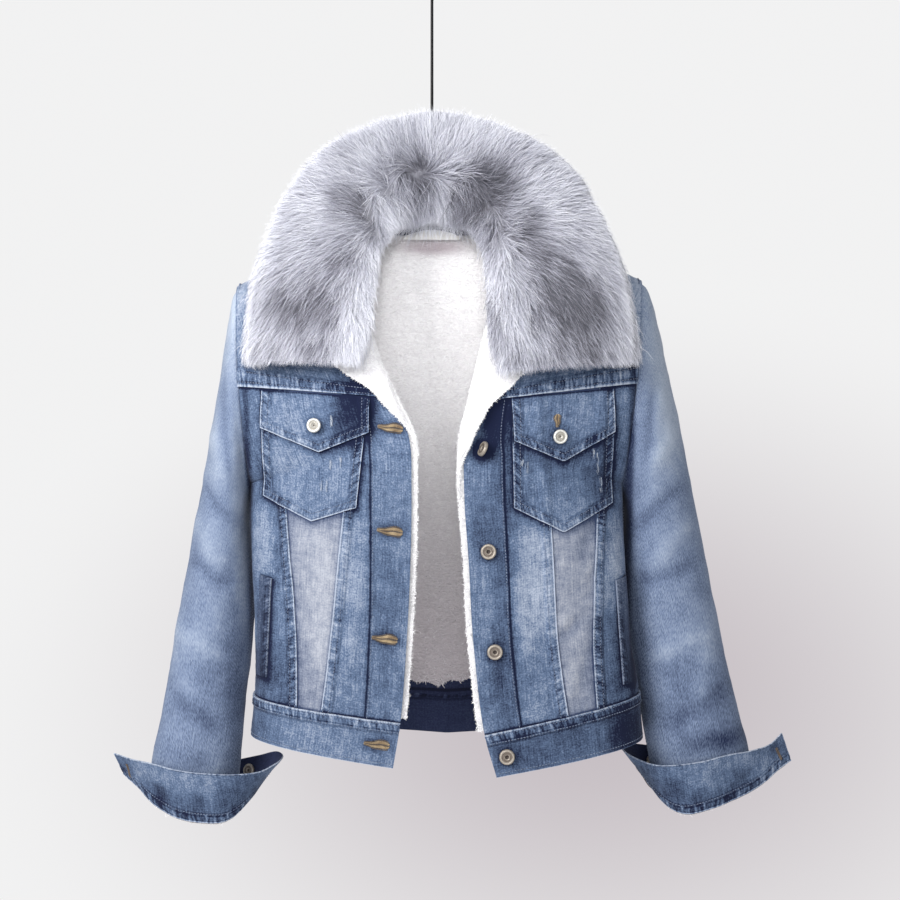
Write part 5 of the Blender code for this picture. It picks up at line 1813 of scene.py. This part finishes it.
@dataclass
class Sleeve:
    """A sleeve with its turned-up cuff, the fleece that shows under the fold, and the cuff's button."""

    side: Side
    forms: Forms
    finishes: Finishes
    stitching: Stitching
    edging: Stitching

    def build(self) -> None:
        """Weaves the tube and the cuff."""
        self._tube()
        cuff = self._cuff()
        self._fringe()
        self._button(cuff)

    def _tube(self) -> None:
        """The sleeve, tucked a little under the armhole."""
        Panel("sleeve_" + self.side.value, self.forms.sleeves[self.side], lambda s, t: (s, -0.018 + 1.018 * t),
              (Seam.BARE, Seam.BARE, Seam.MEET, Seam.BARE),
              base=lambda u, v: -2.6 * MM * (1 - ease(0.0, 0.035, v)) + 0.8 * MM * hump(v, 0.05, 0.03),
              creases=SLEEVE_CREASES[self.side], washes_and_shades=SLEEVE_WASHES_AND_SHADES[self.side],
              pitch=5.0 * MM, closed=True, lump=0.7 * MM, seed=71).sew(
            self.finishes["sleeve"], self.finishes["inside"], self.stitching,
            [(0, (2.0 * MM, 8.0 * MM), 0.03, 0.93)])

    def _cuff(self) -> Panel:
        """The turned-up cuff, with the rows along its rim and its fold."""
        panel = Panel("cuff_" + self.side.value, self.forms.cuffs[self.side], whole,
                      (Seam.FOLD, Seam.BARE, Seam.OVER, Seam.FOLD), creases=CUFF_CREASES[self.side],
                      washes_and_shades=CUFF_WASHES[self.side], rise=0.5 * MM, lump=0.6 * MM, seed=83, pucker=1.2 * MM)
        panel.sew(self.finishes["body"], self.finishes["inside"], self.stitching,
                  [(2, (10.8 * MM,), 0.04, 0.96)], held="folded")
        share, foot = np.linspace(0.05, 0.93, 200), np.zeros(200)
        self.edging.row(panel.outer(share, foot, -0.7 * MM) - np.array([0, 0, 0.2 * MM]),
                        panel.outward(share, foot), 1.5 * MM, 1.9 * MM)
        self._slit(panel)
        return panel

    def _slit(self, cuff: Panel) -> None:
        """The buttonhole at the cuff's open end: a worked slit across the cuff."""
        run, spread = (grid.ravel() for grid in np.meshgrid(np.linspace(-1, 1, 23), (-1.0, 1.0)))
        s = np.clip((20 * MM + run * MM + spread * 1.1 * MM) / float(cuff.across.mean()), 0, 1)
        t = 0.50 + run * 0.24
        ahead = unit(cuff.outer(s + 0.01, t) - cuff.outer(s, t))
        self.edging.beads.append((cuff.outer(s, t, 0.2 * MM), ahead, cuff.outward(s, t), 1.9 * MM))

    def _fringe(self) -> None:
        """The fleece's short curls along the bottom of the cuff."""
        rng = np.random.default_rng(90)
        count = 2600
        station = rng.uniform(1.6, 6.2, count)
        along = cuff_edges(self.side, station + 0.05)[1] - cuff_edges(self.side, station - 0.05)[1]
        inward = unit(np.cross(along, [0.0, 0.0, 1.0]) * self.side.sign)
        roots = cuff_edges(self.side, station)[1] + inward * (rng.uniform(1.2, 6.5, count) * MM)[:, None]
        roots[:, 2] += rng.uniform(0.0, 4.0, count) * MM
        heading = unit(np.array([0, 0, -1.0]) + rng.normal(0, 0.45, (count, 3)))
        Strands("cuff_curls_" + self.side.value, roots, heading, rng.normal(0, 0.5, (count, 3)),
                rng.uniform(1.6, 3.6, count) * MM, rng.uniform(0.5, 0.9, count) * MM,
                np.tile([0.0, -1.0, 0.0], (count, 1)), rng.uniform(0.3, 0.9, count), 91).make(
            self.finishes["curl"], "fleece", "cuff_fleece_" + self.side.value)

    def _button(self, cuff: Panel) -> None:
        """The cuff's button, on the inner end of the cuff behind the sleeve."""
        s = np.array(CUFF_BUTTON_AT[0] / (len(CUFF[self.side]) - 1))
        t = np.array(CUFF_LIP_SHARE + (1 - CUFF_LIP_SHARE) * CUFF_BUTTON_AT[1])
        node = "cuff_button_" + self.side.value
        low, high = (np.array(corner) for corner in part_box(node))
        inward = -cuff.outward(s, t)
        Button(node, (low + high) / 2 - inward * CUFF_BUTTON[1] / 2, inward, *CUFF_BUTTON).build(
            self.finishes["brass"])


@dataclass
class Button:
    """A pressed metal button: a rolled rim round a dished middle."""

    name: str
    centre: Array
    facing: Array
    radius: float
    height: float

    # The section: reach from the middle and height, as shares of the radius and the height.
    SECTION = ((0.86, 0.0), (0.97, 0.10), (1.0, 0.42), (0.97, 0.78), (0.90, 0.97), (0.80, 1.0), (0.70, 0.93),
               (0.62, 0.78), (0.52, 0.76), (0.42, 0.84), (0.33, 0.84), (0.26, 0.70), (0.20, 0.40), (0.0, 0.34))

    def build(self, plating: Material) -> None:
        """Spins the button and puts it on its cloth."""
        bm = bmesh.new()
        verts = [bm.verts.new((self.radius * reach, 0.0, self.height * rise)) for reach, rise in self.SECTION]
        edges = [bm.edges.new(pair) for pair in zip(verts, verts[1:])]
        edges.append(bm.edges.new((bm.verts.new((0.0, 0.0, 0.0)), verts[0])))
        bmesh.ops.spin(bm, geom=bm.verts[:] + edges, cent=(0, 0, 0), axis=(0, 0, 1), dvec=(0, 0, 0),
                       angle=2 * math.pi, steps=40, use_merge=True)
        bmesh.ops.remove_doubles(bm, verts=bm.verts, dist=0.01 * MM)
        bmesh.ops.recalc_face_normals(bm, faces=bm.faces)
        x, y, _ = np.array([vert.co for vert in bm.verts]).T
        turn = Vector(self.facing).to_track_quat("Z", "Y").to_matrix()
        bmesh.ops.rotate(bm, verts=bm.verts, cent=(0, 0, 0), matrix=turn)
        bmesh.ops.translate(bm, verts=bm.verts, vec=Vector(self.centre))
        mesh = bpy.data.meshes.new(self.name)
        bm.to_mesh(mesh)
        bm.free()
        mesh.shade_smooth()
        mesh.set_sharp_from_angle(angle=math.radians(60))
        store(mesh, "turn", np.hypot(x, y) / self.radius, np.abs(np.arctan2(y, x)), np.zeros(len(x)))
        register(link(self.name + "_metal", mesh, plating), "brass", self.name)


@dataclass
class Closures:
    """The front and pocket buttons, and the worked buttonholes."""

    forms: Forms
    finishes: Finishes

    def spot(self, side: Side, x: float, z: float, height: float) -> tuple[Array, Array]:
        """A point over a front at x and z in millimetres, and the outward direction there."""
        form = self.forms.fronts[side]
        u, v = form.find(np.array([x * MM]), np.array([z * MM]))
        return form.at(u, v, height)[0], form.normal(u, v)[0]

    def build(self) -> None:
        """Builds the buttons and the buttonholes."""
        for number, (x, z) in enumerate(FRONT_BUTTONS, 1):
            centre, facing = self.spot(Side.LEFT, x, z, WAISTBAND_WALL + BUTTON_GAP)
            if number == 1:
                centre = centre + facing * TOP_BUTTON_OUT
                facing = unit(facing + np.array(TOP_BUTTON_LEAN))
            Button("front_button_%d" % number, centre, facing, *FRONT_BUTTON).build(self.finishes["brass"])
        for side, (x, z) in POCKET_BUTTONS.items():
            centre, facing = self.spot(side, x, z, 3 * DENIM + 2 * LAYER_GAP + BUTTON_GAP)
            Button("pocket_button_" + side.value, centre + facing * MM, facing, *POCKET_BUTTON).build(
                self.finishes["silver"])
        # Dark brown thread down each slit and round its edge is painted shade of the cut and of the raised edge.
        holes, slit_shade = Stitching("buttonholes", 1.15 * MM), Stitching("buttonhole_slits", 0.9 * MM)
        for x, z in BUTTONHOLES:
            self._hole(holes, slit_shade, Side.RIGHT, x, z, -0.10, 1.2 * MM + DENIM, 1.0)
        self._hole(holes, slit_shade, Side.LEFT, *FLAP_BUTTONHOLE, math.pi / 2, 6.2 * MM, 0.5)
        holes.make(self.finishes["tan_thread"])
        slit_shade.make(self.finishes["brown_thread"])

    def _hole(self, holes: Stitching, slit_shade: Stitching, side: Side, x: float, z: float, turn: float,
              height: float, size: float) -> None:
        """Works the thread over one buttonhole, wide at the eye and narrow behind, with dark thread down its slit
        and round its edge as painted shade.
        """
        form = self.forms.fronts[side]
        share = np.linspace(-1, 1, int(27 * size) + 4)
        wide = (1.2 + 3.7 * ease(-1.15, 0.5, share) * np.sqrt((1 - np.maximum(share - 0.5, 0) ** 2 * 3.4).clip(0))
                ) * MM * (0.4 + 0.6 * size)

        def spot(off: Array | float, rise: float) -> tuple[Array, Array]:
            """Points beside the slit, and the outward direction there."""
            along, across = 13.5 * MM * size * share, off + 0.4 * MM * np.sin(share * 5.0)
            u, v = form.find(x * MM + along * math.cos(turn) - across * math.sin(turn),
                             z * MM + along * math.sin(turn) + across * math.cos(turn))
            return form.at(u, v, height + rise), form.normal(u, v)

        for half in (-1, 1):
            inner, _ = spot(half * 0.1 * MM, 0.15 * MM)
            outer, outward = spot(half * wide, 0.0)
            lengths = np.linalg.norm(outer - inner, axis=1)[:, None]
            holes.beads.append(((inner + outer) / 2, unit(outer - inner), outward, lengths))
            # Dark thread just outside the worked edge and down the slit: painted shade.
            slit_shade.row(*spot(half * (wide + 0.5 * MM), -0.1 * MM), 1.4 * MM, 1.7 * MM)
        slit_shade.row(*spot(0.0, 0.35 * MM), 1.3 * MM, 1.7 * MM)


@dataclass
class FleeceParts:
    """The curly lining, the rolled lapels and the fuzz along their free edges."""

    forms: Forms
    finishes: Finishes

    def build(self) -> None:
        """Builds the lining and the lapels."""
        self._back()
        for side in Side:
            self._front(side)
            self._lapel(side)

    @staticmethod
    def curls(form: Form, depth: float, seed: int) -> Height:
        """The curly relief of a fleece, as a height at (u, v)."""
        def relief(u: Array, v: Array) -> Array:
            """Height of the curls."""
            points = form.at(u, v) * np.array([0.55, 0.8, 1.0])
            large = lumps(points, 6.5 * MM, seed)
            small = lumps(points + 0.003 * large[..., None], 3.4 * MM, seed + 1)
            return depth * (0.55 * large + 0.45 * small)
        return relief

    def _lining(self, name: str, form: Form, place: Place, finish: str, pitch: float, washes_and_shades: Rows) -> Panel:
        """One panel of lining: its pile is on its inner face."""
        curls = self.curls(form, 1.4 * MM, 7)
        return Panel(name, form, place, (Seam.BARE,) * 4, base=lambda u, v: curls(u, v) - (LINING_GAP + FLEECE),
                     wall=FLEECE, washes_and_shades=washes_and_shades, pitch=pitch, lump=0.8 * MM, seed=101).sew(
            self.finishes[finish], self.finishes[finish], slot="fleece")

    def _fuzz(self, name: str, panel: Panel, s: Array, t: Array, rng: np.random.Generator, length: float,
              width: float, curl: float = 0.9, way: int = 1) -> None:
        """Short curled tufts on a fleece: white, but on an inner face they are painted grey below the neck, the
        lining's painted shade.

        Args:
            name: the piece's name.
            panel: the fleece that they stand on.
            s: the tufts' places.
            t: the tufts' places.
            rng: the random numbers.
            length: of a tuft, metres.
            width: of a tuft, metres.
            curl: how far they lean over.
            way: 1 on the outer face, -1 on the inner face.
        """
        u, v = panel.place(s, t)
        outward = panel.form.normal(u, v) * way
        height = panel.height(s, t) + (panel.wall if way > 0 else 0.0)
        roots = panel.form.at(u, v, height) - outward * 0.6 * MM
        count = len(s)
        heading = unit(outward * 0.8 + rng.normal(0, curl, (count, 3)))
        bend = rng.normal(0, 0.5, (count, 3)) - outward * 0.35
        # On the inner face the tufts darken towards the bottom: painted shade.
        pale = 0.85 if way > 0 else 0.08 + 0.86 * ease(-0.74, -0.46, roots[:, 2])
        Strands(name, roots, heading, bend, length * rng.uniform(0.55, 1.15, count),
                width * rng.uniform(0.7, 1.3, count), outward,
                np.clip(pale + rng.normal(0, 0.1, count), 0, 1), int(rng.integers(1, 999))).make(
            self.finishes["curl"], "fleece")

    def _back(self) -> None:
        """The back's lining, with its uneven lower edge."""
        def place(s: Array, t: Array) -> tuple[Array, Array]:
            """(u, v) at (s, t), the foot waving."""
            u = (2 * s - 1) * 0.935
            foot = V_BAND + 0.016 + 0.004 * np.sin(u * 23.0) + 0.003 * np.sin(u * 61.0 + 1.0)
            return u, foot + (0.985 - foot) * t

        panel = self._lining("lining_back", self.forms.back, place, "lining", 5.4 * MM, LINING_SHADES)
        rng = np.random.default_rng(111)
        count = 12000
        s = 0.5 + rng.uniform(-0.24, 0.24, count)
        t = np.where(rng.uniform(0, 1, count) < 0.12, rng.uniform(0, 0.012, count), rng.uniform(0, 0.95, count))
        self._fuzz("lining_curls", panel, s, t, rng, 3.0 * MM, 1.2 * MM, 0.8, -1)

    def _front(self, side: Side) -> None:
        """A front's lining: it rolls out past the denim's edge."""
        break_v, top = LAPEL_WIDTH[side][1][0], 0.94

        def place(s: Array, t: Array) -> tuple[Array, Array]:
            """(u, v) at (s, t)."""
            v = V_BAND + 0.006 + (top - V_BAND - 0.006) * t
            edge = LINING_EDGE + (0.012 - LINING_EDGE) * ease(break_v - 0.015, break_v + 0.015, v)
            return edge + (0.94 - edge) * s, v

        panel = self._lining("lining_front_" + side.value, self.forms.fronts[side], place, "fleece", 5.6 * MM, ())
        rng = np.random.default_rng(121)
        count = 7500
        t = rng.uniform(0.0, (break_v - V_BAND) / (top - V_BAND), count)
        s = rng.uniform(0, 1, count) ** 1.3 * 0.034
        self._fuzz("front_edge_curls_" + side.value, panel, s, t, rng, 2.4 * MM, 0.7 * MM)

    def _lapel(self, side: Side) -> None:
        """A rolled lapel: thick fleece, rounded at its fold and along its turned edge."""
        form = self.forms.fronts[side]
        levels, widths = zip(*LAPEL_WIDTH[side])
        low, high = levels[0], levels[-1]
        curls = self.curls(form, 1.3 * MM, 17)

        def place(s: Array, t: Array) -> tuple[Array, Array]:
            """(u, v) at (s, t)."""
            v = low + (high - low) * t
            return LAPEL_ROLL + (smooth(levels, widths, v) - LAPEL_ROLL) * s, v

        def base(u: Array, v: Array) -> Array:
            """The roll's height: down round the denim's edge at the fold, full in the middle."""
            rising = ease(low, low + 0.09, v)
            roll = ease(LAPEL_ROLL, 0.02, u) * rising
            return (2.8 * rising - 5.0) * MM + (DENIM + LAYER_GAP + 4.4 * MM) * roll + curls(u, v)

        panel = Panel("lapel_" + side.value, form, place, (Seam.BARE,) * 4, base=base, wall=FLEECE,
                      pitch=3.4 * MM, lump=1.0 * MM, seed=131)
        panel.sew(self.finishes["fleece"], self.finishes["fleece"], slot="fleece", held="folded")
        rng = np.random.default_rng(141)
        count, rim = 9000, 5000
        s, t = rng.uniform(0, 1, count), rng.uniform(0, 1, count)
        s[:rim] = np.where(rng.uniform(0, 1, rim) < 0.5, rng.uniform(0, 0.05, rim), rng.uniform(0.95, 1, rim))
        self._fuzz("lapel_curls_" + side.value, panel, s, t, rng, 2.3 * MM, 0.65 * MM)


@dataclass
class FurCollar:
    """The wide fur collar: a dense pile with long hair in three fields."""

    finishes: Finishes
    fullness: float = 0.62
    hairs: int = 30000

    def build(self) -> None:
        """Builds the pile and the hair."""
        self.form = fur_form(self.fullness)
        self._pile()
        rng = np.random.default_rng(201)
        self._hair("fur_hair_right", 0.012, 0.36, rng, 211)
        self._hair("fur_hair_neck", 0.36, 0.64, rng, 212)
        self._hair("fur_hair_left", 0.64, 0.988, rng, 213)

    def _pile(self) -> None:
        """The under-hair's body, closed at both ends."""
        bm = bmesh.new()
        bmesh.ops.create_grid(bm, x_segments=150, y_segments=84, size=1.0)
        u, v = (np.array([vert.co[:2] for vert in bm.verts]).T + 1) / 2
        u, v = 0.012 + 0.976 * u, v * len(FUR_SECTION)
        v = np.where(v > len(FUR_SECTION) - 1e-4, 0.0, v)
        points = self.form.at(u, v)
        tone = self.tone(v, points)
        points = points + self.form.normal(u, v) * self.clumps(points)[:, None]
        layer = bm.verts.layers.float_vector.new("strand")
        for vert, point, share in zip(bm.verts, points, tone):
            vert.co = point
            vert[layer] = (0.3, share, 0.5)
        bmesh.ops.remove_doubles(bm, verts=bm.verts, dist=0.05 * MM)
        bmesh.ops.holes_fill(bm, edges=[edge for edge in bm.edges if edge.is_boundary], sides=200)
        bmesh.ops.recalc_face_normals(bm, faces=bm.faces)
        mesh = bpy.data.meshes.new("fur_pile")
        bm.to_mesh(mesh)
        bm.free()
        mesh.shade_smooth()
        obj = register(link("fur_pile", mesh, self.finishes["pile"]), "fur", "fur_collar")

    @staticmethod
    def clumps(points: Array) -> Array:
        """How far the pile's tufts stand out, metres."""
        return lumps(points * np.array([1, 1, 0.45]), 13 * MM, 31) * 2.6 * MM

    @staticmethod
    def across(v: Array) -> Array:
        """The place across the hide at v round the section."""
        return np.interp(v, range(len(FUR_SECTION) + 1), [row[0] for row in FUR_SECTION] + [0.0])

    def tone(self, v: Array, points: Array) -> Array:
        """How pale the fur is: pale at its edges, dark along the parting and under the chin, with painted shade
        from FUR_SHADES on the right's inner rim and along the lower edges.
        """
        across = self.across(v)
        wide = lumps(points * np.array([1, 1, 0.6]), 34 * MM, 41)
        fine = lumps(points * np.array([1, 1, 0.3]), 9 * MM, 43)
        rim = ease(0.72, 1.0, across) + 1.1 * (1 - ease(0.0, 0.26, across))
        shades = shading(FUR_SHADES, points)
        depth = np.clip(-1.7 * shades, 0, 1)
        return np.clip(0.665 + 0.22 * rim + shades + 0.10 * wide + (0.16 + 0.26 * depth) * fine, 0, 1)

    def _hair(self, name: str, low: float, high: float, rng: np.random.Generator, seed: int) -> None:
        """One field of long hair, its roots spread evenly over the pile's front and rims.

        Args:
            name: the piece's name.
            low: where the field starts along the collar, as u.
            high: where it ends.
            rng: the random numbers.
            seed: which hairs.
        """
        form = self.form
        u, v = rng.uniform(low, high, self.hairs * 4), rng.uniform(3.85, 11.95, self.hairs * 4)
        step_u, step_v = 0.002, 0.03
        first = (form.at(u + step_u, v) - form.at(u - step_u, v)) / (2 * step_u)
        second = (form.at(u, v + step_v) - form.at(u, v - step_v)) / (2 * step_v)
        size = np.linalg.norm(np.cross(first, second), axis=1)
        keep = np.flatnonzero(rng.uniform(0, 1, len(u)) < size / np.quantile(size, 0.97))[:self.hairs]
        u, v, first, outer = u[keep], v[keep], unit(first[keep]), -unit(second[keep])
        roots, outward = form.at(u, v), form.normal(u, v)
        count, across, clump = len(u), self.across(v), lumps(roots, 16 * MM, 51)
        roots = roots + outward * (self.clumps(roots) - 1.0 * MM)[:, None]
        end = np.minimum(u, 1 - u)
        # The parting: hair lies towards the outer edge beyond it and towards the neck within it.
        divide = 0.08 + 0.26 * ease(0.25, 0.45, end)
        toward = np.clip((across - divide + 0.12 * clump) / 0.24, -1, 1)
        loose = (1 - np.abs(toward))[:, None]
        wing = 1 - ease(0.10, 0.30, end)
        down = np.array([0.0, 0.0, -1.0])
        sway = lumps(roots, 24 * MM, 61) * 0.30
        flow = unit(outer * (toward * (1 - 0.35 * wing))[:, None] + first * sway[:, None]
                    + down * (0.20 + 0.75 * wing + 0.5 * (toward < 0))[:, None])
        heading = unit(flow * 0.85 + outward * (0.40 + 0.25 * loose)
                       + rng.normal(0, 0.19, (count, 3)) * (1 + 0.7 * loose))
        bend = flow * 0.15 - outward * 0.26 + down * (0.18 + 0.10 * wing)[:, None]
        bend = bend + rng.normal(0, 0.10, (count, 3))
        inner = (toward < 0) & (end > 0.28)
        for way, least in ((heading, -0.22), (bend, -0.02)):
            way[:, 1] = np.where(inner, np.minimum(way[:, 1], least), way[:, 1])
        # A hair ends near the collar's outline, so that the outline keeps its shape.
        station = u * (len(COLLAR) - 1)
        depth = by_row([row[3] for row in COLLAR], station) / 36
        width = np.linalg.norm(by_row([np.subtract(row[1], row[0]) for row in COLLAR], station), axis=1) * MM
        length = rng.uniform(19, 36, count) * MM * depth
        tip = heading + bend
        away = (tip * outer).sum(axis=1)
        neck = 0.045 * ease(0.36, 0.46, end)
        room = np.where(away > 0, (0.985 - across) * width, (across + 0.045 + neck) * width)
        behind = np.where(v < 5.8, (12 - 9 * ease(4.7, 5.8, v)) * MM, 0.0)
        room = np.maximum(room, behind) + rng.uniform(0, 5.5, count) * MM
        length = np.minimum(length, room / np.maximum(np.abs(away), 0.18))
        run = np.linalg.norm(roots - form.at(np.round(u), v), axis=1)
        over = np.maximum(-(tip * first).sum(axis=1) * np.where(u < 0.5, 1, -1), 0.18)
        length = np.maximum(np.minimum(length, (run + rng.uniform(-1, 6.5, count) * MM) / over), 3 * MM)
        tone = np.clip(self.tone(v, roots) + rng.normal(0, 0.07, count), 0, 1)
        Strands(name, roots, heading, bend, length, rng.uniform(0.36, 0.76, count) * MM, outward, tone,
                seed).make(self.finishes["hair"], "fur")


@dataclass
class UnderCollar:
    """The denim behind the fur, sewn to the neck seam."""

    finishes: Finishes
    stitching: Stitching

    def build(self) -> None:
        """Weaves the under-collar."""
        last = len(COLLAR) - 1
        stations = (0.01 + 0.98 * np.linspace(0, 1, 161)) * last
        from_end = np.minimum(stations, last - stations)
        foot = np.interp(from_end, *zip(*UNDER_COLLAR_FOOT))
        sewn = ease(NECK_STATIONS[0] - 0.25, NECK_STATIONS[0] + 0.05, from_end)
        seam = self._neck_seam(stations)
        rows = []
        for t in np.linspace(0, 1, 41):
            place, forward, _ = hide_point(stations, foot + (UNDER_COLLAR_TOP - foot) * t)
            row = place - forward * (UNDER_COLLAR_GAP + DENIM)
            rows.append(row + (seam - row) * ((1 - ease(0.0, 0.34, t)) * sewn)[:, None])
        form = Form(np.array(rows), facing=(0.0, 1.0, 0.0))
        Panel("under_collar", form, whole, (Seam.BARE,) * 4, base=lambda *_: -DENIM, pitch=5.4 * MM,
              lump=0.8 * MM, washes_and_shades=BACK_WASHES, seed=151).sew(
            self.finishes["sleeve"], self.finishes["inside"], self.stitching,
            [(3, (3.0 * MM,)), (2, (3.0 * MM,))], held="folded")

    @staticmethod
    def _neck_seam(stations: Array) -> Array:
        """Points just outside and below the back's neck seam, at stations of the collar."""
        low, high = NECK_STATIONS
        neck_x = CENTRE_BACK[-1][0]
        rows = []
        for share in np.clip((stations - low) / (high - low) * 2 - 1, -1, 1):
            side = Side.RIGHT if share < 0 else Side.LEFT
            neck_share = abs(FRONT_EDGE[side][-1][0] - neck_x) / abs(SLEEVE[side][0][0] - neck_x)
            rows.append(back_top(side, np.array([abs(share) * neck_share]))[0])
        return np.array(rows) + np.array(NECK_LAP)


@dataclass
class Label:
    """The blank neck label: a shallow arch of tape."""

    finishes: Finishes

    def build(self) -> None:
        """Weaves the label."""
        share = np.linspace(0, 1, 61)
        x, arch = (2 * share - 1) * LABEL_HALF, LABEL_HEIGHT * (1 - (2 * share - 1) ** 2 * 0.75)
        sag = 1.6 * MM * np.sin(math.pi * share)
        rows = [np.stack([x, LABEL_Y - sag * t, LABEL_FOOT_Z + arch * t], axis=1) for t in np.linspace(0, 1, 21)]
        Panel("neck_label", Form(np.array(rows), facing=(0.0, -1.0, 0.0)), whole, (Seam.BARE,) * 4,
              wall=LABEL_WALL, pitch=1.6 * MM, lump=0.15 * MM).sew(
            self.finishes["tape"], self.finishes["tape"], slot="label")


@dataclass
class Hanger:
    """The black wire hanger, whose CAD solids have their true shape."""

    finishes: Finishes

    def build(self) -> None:
        """Dresses the hook and the arms."""
        for name in ("hanger_hook", "hanger_arms"):
            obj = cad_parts[name]
            obj = obj if isinstance(obj, Object) else bpy.data.objects[name]
            obj.data.materials.clear()
            obj.data.materials.append(self.finishes["wire"])
            obj.data.shade_smooth()
            LOG.info("%s: dressed", name)


@dataclass
class Studio:
    """A pale floor, soft light and the camera."""

    finishes: Finishes
    camera_at: tuple[float, float, float] = (0.0206, -1.6, -0.565)
    lens: float = 56.0
    floor_z: float = -1.52
    floor_radius: float = 1.3
    # Where the painted shadow on the backdrop centres, and how far it reaches, as directions.
    painted_shadow_at: tuple[float, float, float] = (0.095, 0.97, -0.172)
    painted_shadow_reach: tuple[float, float, float] = (0.24, 1.5, 0.16)

    def build(self) -> None:
        """Sets the stage."""
        self._camera()
        self._floor()
        self._world()
        self._light("key", "AREA", (-1.15, -1.35, 0.20), (0.0, 0.0, -0.55), 37.0,
                    size=0.9, color=(1.0, 0.99, 0.98))
        self._light("fill", "AREA", (0.1, -2.7, -0.2), (0.0, 0.0, -0.5), 27.0, size=1.8, color=(0.98, 0.99, 1.0))
        self._light("rim", "AREA", (0.3, 1.6, 0.5), (0.0, 0.0, -0.5), 14.0, size=1.4)
        self._light("neck_light", "SPOT", (0.02, -1.5, -0.22), (-0.028, 0.0, -0.395), 50.0,
                    spot_size=math.radians(16.5), spot_blend=1.0, shadow_soft_size=0.15)

    def _camera(self) -> None:
        """The level camera in front of the jacket."""
        data = bpy.data.cameras.new("camera")
        data.lens, data.sensor_width = self.lens, 36.0
        camera = bpy.data.objects.new("camera", data)
        camera.location = self.camera_at
        camera.rotation_euler = (math.radians(90), 0.0, 0.0)
        bpy.context.scene.collection.objects.link(camera)
        bpy.context.scene.camera = camera

    def _floor(self) -> None:
        """A round floor, low under the hanging jacket."""
        bm = bmesh.new()
        bmesh.ops.create_circle(bm, cap_ends=True, segments=96, radius=self.floor_radius)
        bmesh.ops.translate(bm, verts=bm.verts, vec=(0.0, 0.0, self.floor_z))
        mesh = bpy.data.meshes.new("floor")
        bm.to_mesh(mesh)
        bm.free()
        link("floor", mesh, self.finishes["floor"])

    def _world(self) -> None:
        """A pale backdrop with a painted soft warm shadow of the jacket low on one side, weaker as light than it
        looks.
        """
        world = bpy.data.worlds.new("studio")
        bpy.context.scene.world = world
        world.use_nodes = True
        g = Nodes(world.node_tree)
        way = g.node("ShaderNodeTexCoord").outputs["Generated"]
        for operation, by in (("SUBTRACT", self.painted_shadow_at), ("DIVIDE", self.painted_shadow_reach)):
            way = g.node("ShaderNodeVectorMath", {"operation": operation}, {0: way, 1: by}).outputs[0]
        gone = g.node("ShaderNodeVectorMath", {"operation": "LENGTH"}, {0: way}).outputs["Value"]
        spread = g.node("ShaderNodeMapRange", {"interpolation_type": "SMOOTHSTEP"},
                        {"Value": gone, "From Min": 0.0, "From Max": 1.85}).outputs[0]
        # The darker stop is the painted shadow's colour.
        colour = g.ramp(spread, [(0.0, (0.552, 0.502, 0.532)), (1.0, (0.885, 0.885, 0.888))])
        lit, seen = (g.node("ShaderNodeBackground", {}, {"Color": colour, "Strength": strength}).outputs[0]
                     for strength in (0.54, 1.0))
        camera = g.node("ShaderNodeLightPath").outputs["Is Camera Ray"]
        both = g.node("ShaderNodeMixShader", {}, {0: camera, 1: lit, 2: seen}).outputs[0]
        g.node("ShaderNodeOutputWorld", {}, {"Surface": both})
        bpy.context.scene.view_settings.view_transform = "Standard"

    @staticmethod
    def _light(name: str, kind: str, place: Colour, target: Colour, power: float, **settings: object) -> None:
        """A soft light in its place, aimed at a point."""
        data = bpy.data.lights.new(name, kind)
        data.energy = power
        for key, value in settings.items():
            setattr(data, key, value)
        light = bpy.data.objects.new(name, data)
        light.location = place
        light.rotation_euler = (Vector(target) - Vector(place)).to_track_quat("-Z", "Y").to_euler()
        bpy.context.scene.collection.objects.link(light)


def main() -> None:
    """Builds the jacket piece by piece."""
    logging.basicConfig(level=logging.INFO, format="%(message)s")
    forms, finishes = Forms(), {name: finish.make() for name, finish in FINISHES.items()}
    Studio(finishes).build()
    for side in Side:
        sewing = Stitching("stitching_front_" + side.value)
        front = Front(forms, finishes, sewing, side)
        front.build()
        Patches(front).build()
        sewing.make(finishes["thread"])
    sewing = Stitching("stitching_back")
    Back(forms, finishes, sewing).build()
    Waistband(forms, finishes, sewing).build()
    UnderCollar(finishes, sewing).build()
    sewing.make(finishes["thread"])
    sewing, edging = Stitching("stitching_sleeves"), Stitching("cuff_edging", 1.0 * MM)
    for side in Side:
        Sleeve(side, forms, finishes, sewing, edging).build()
    sewing.make(finishes["thread"])
    edging.make(finishes["brown_thread"])
    FleeceParts(forms, finishes).build()
    FurCollar(finishes).build()
    Label(finishes).build()
    Closures(forms, finishes).build()
    Hanger(finishes).build()


if __name__ == "__main__":
    main()
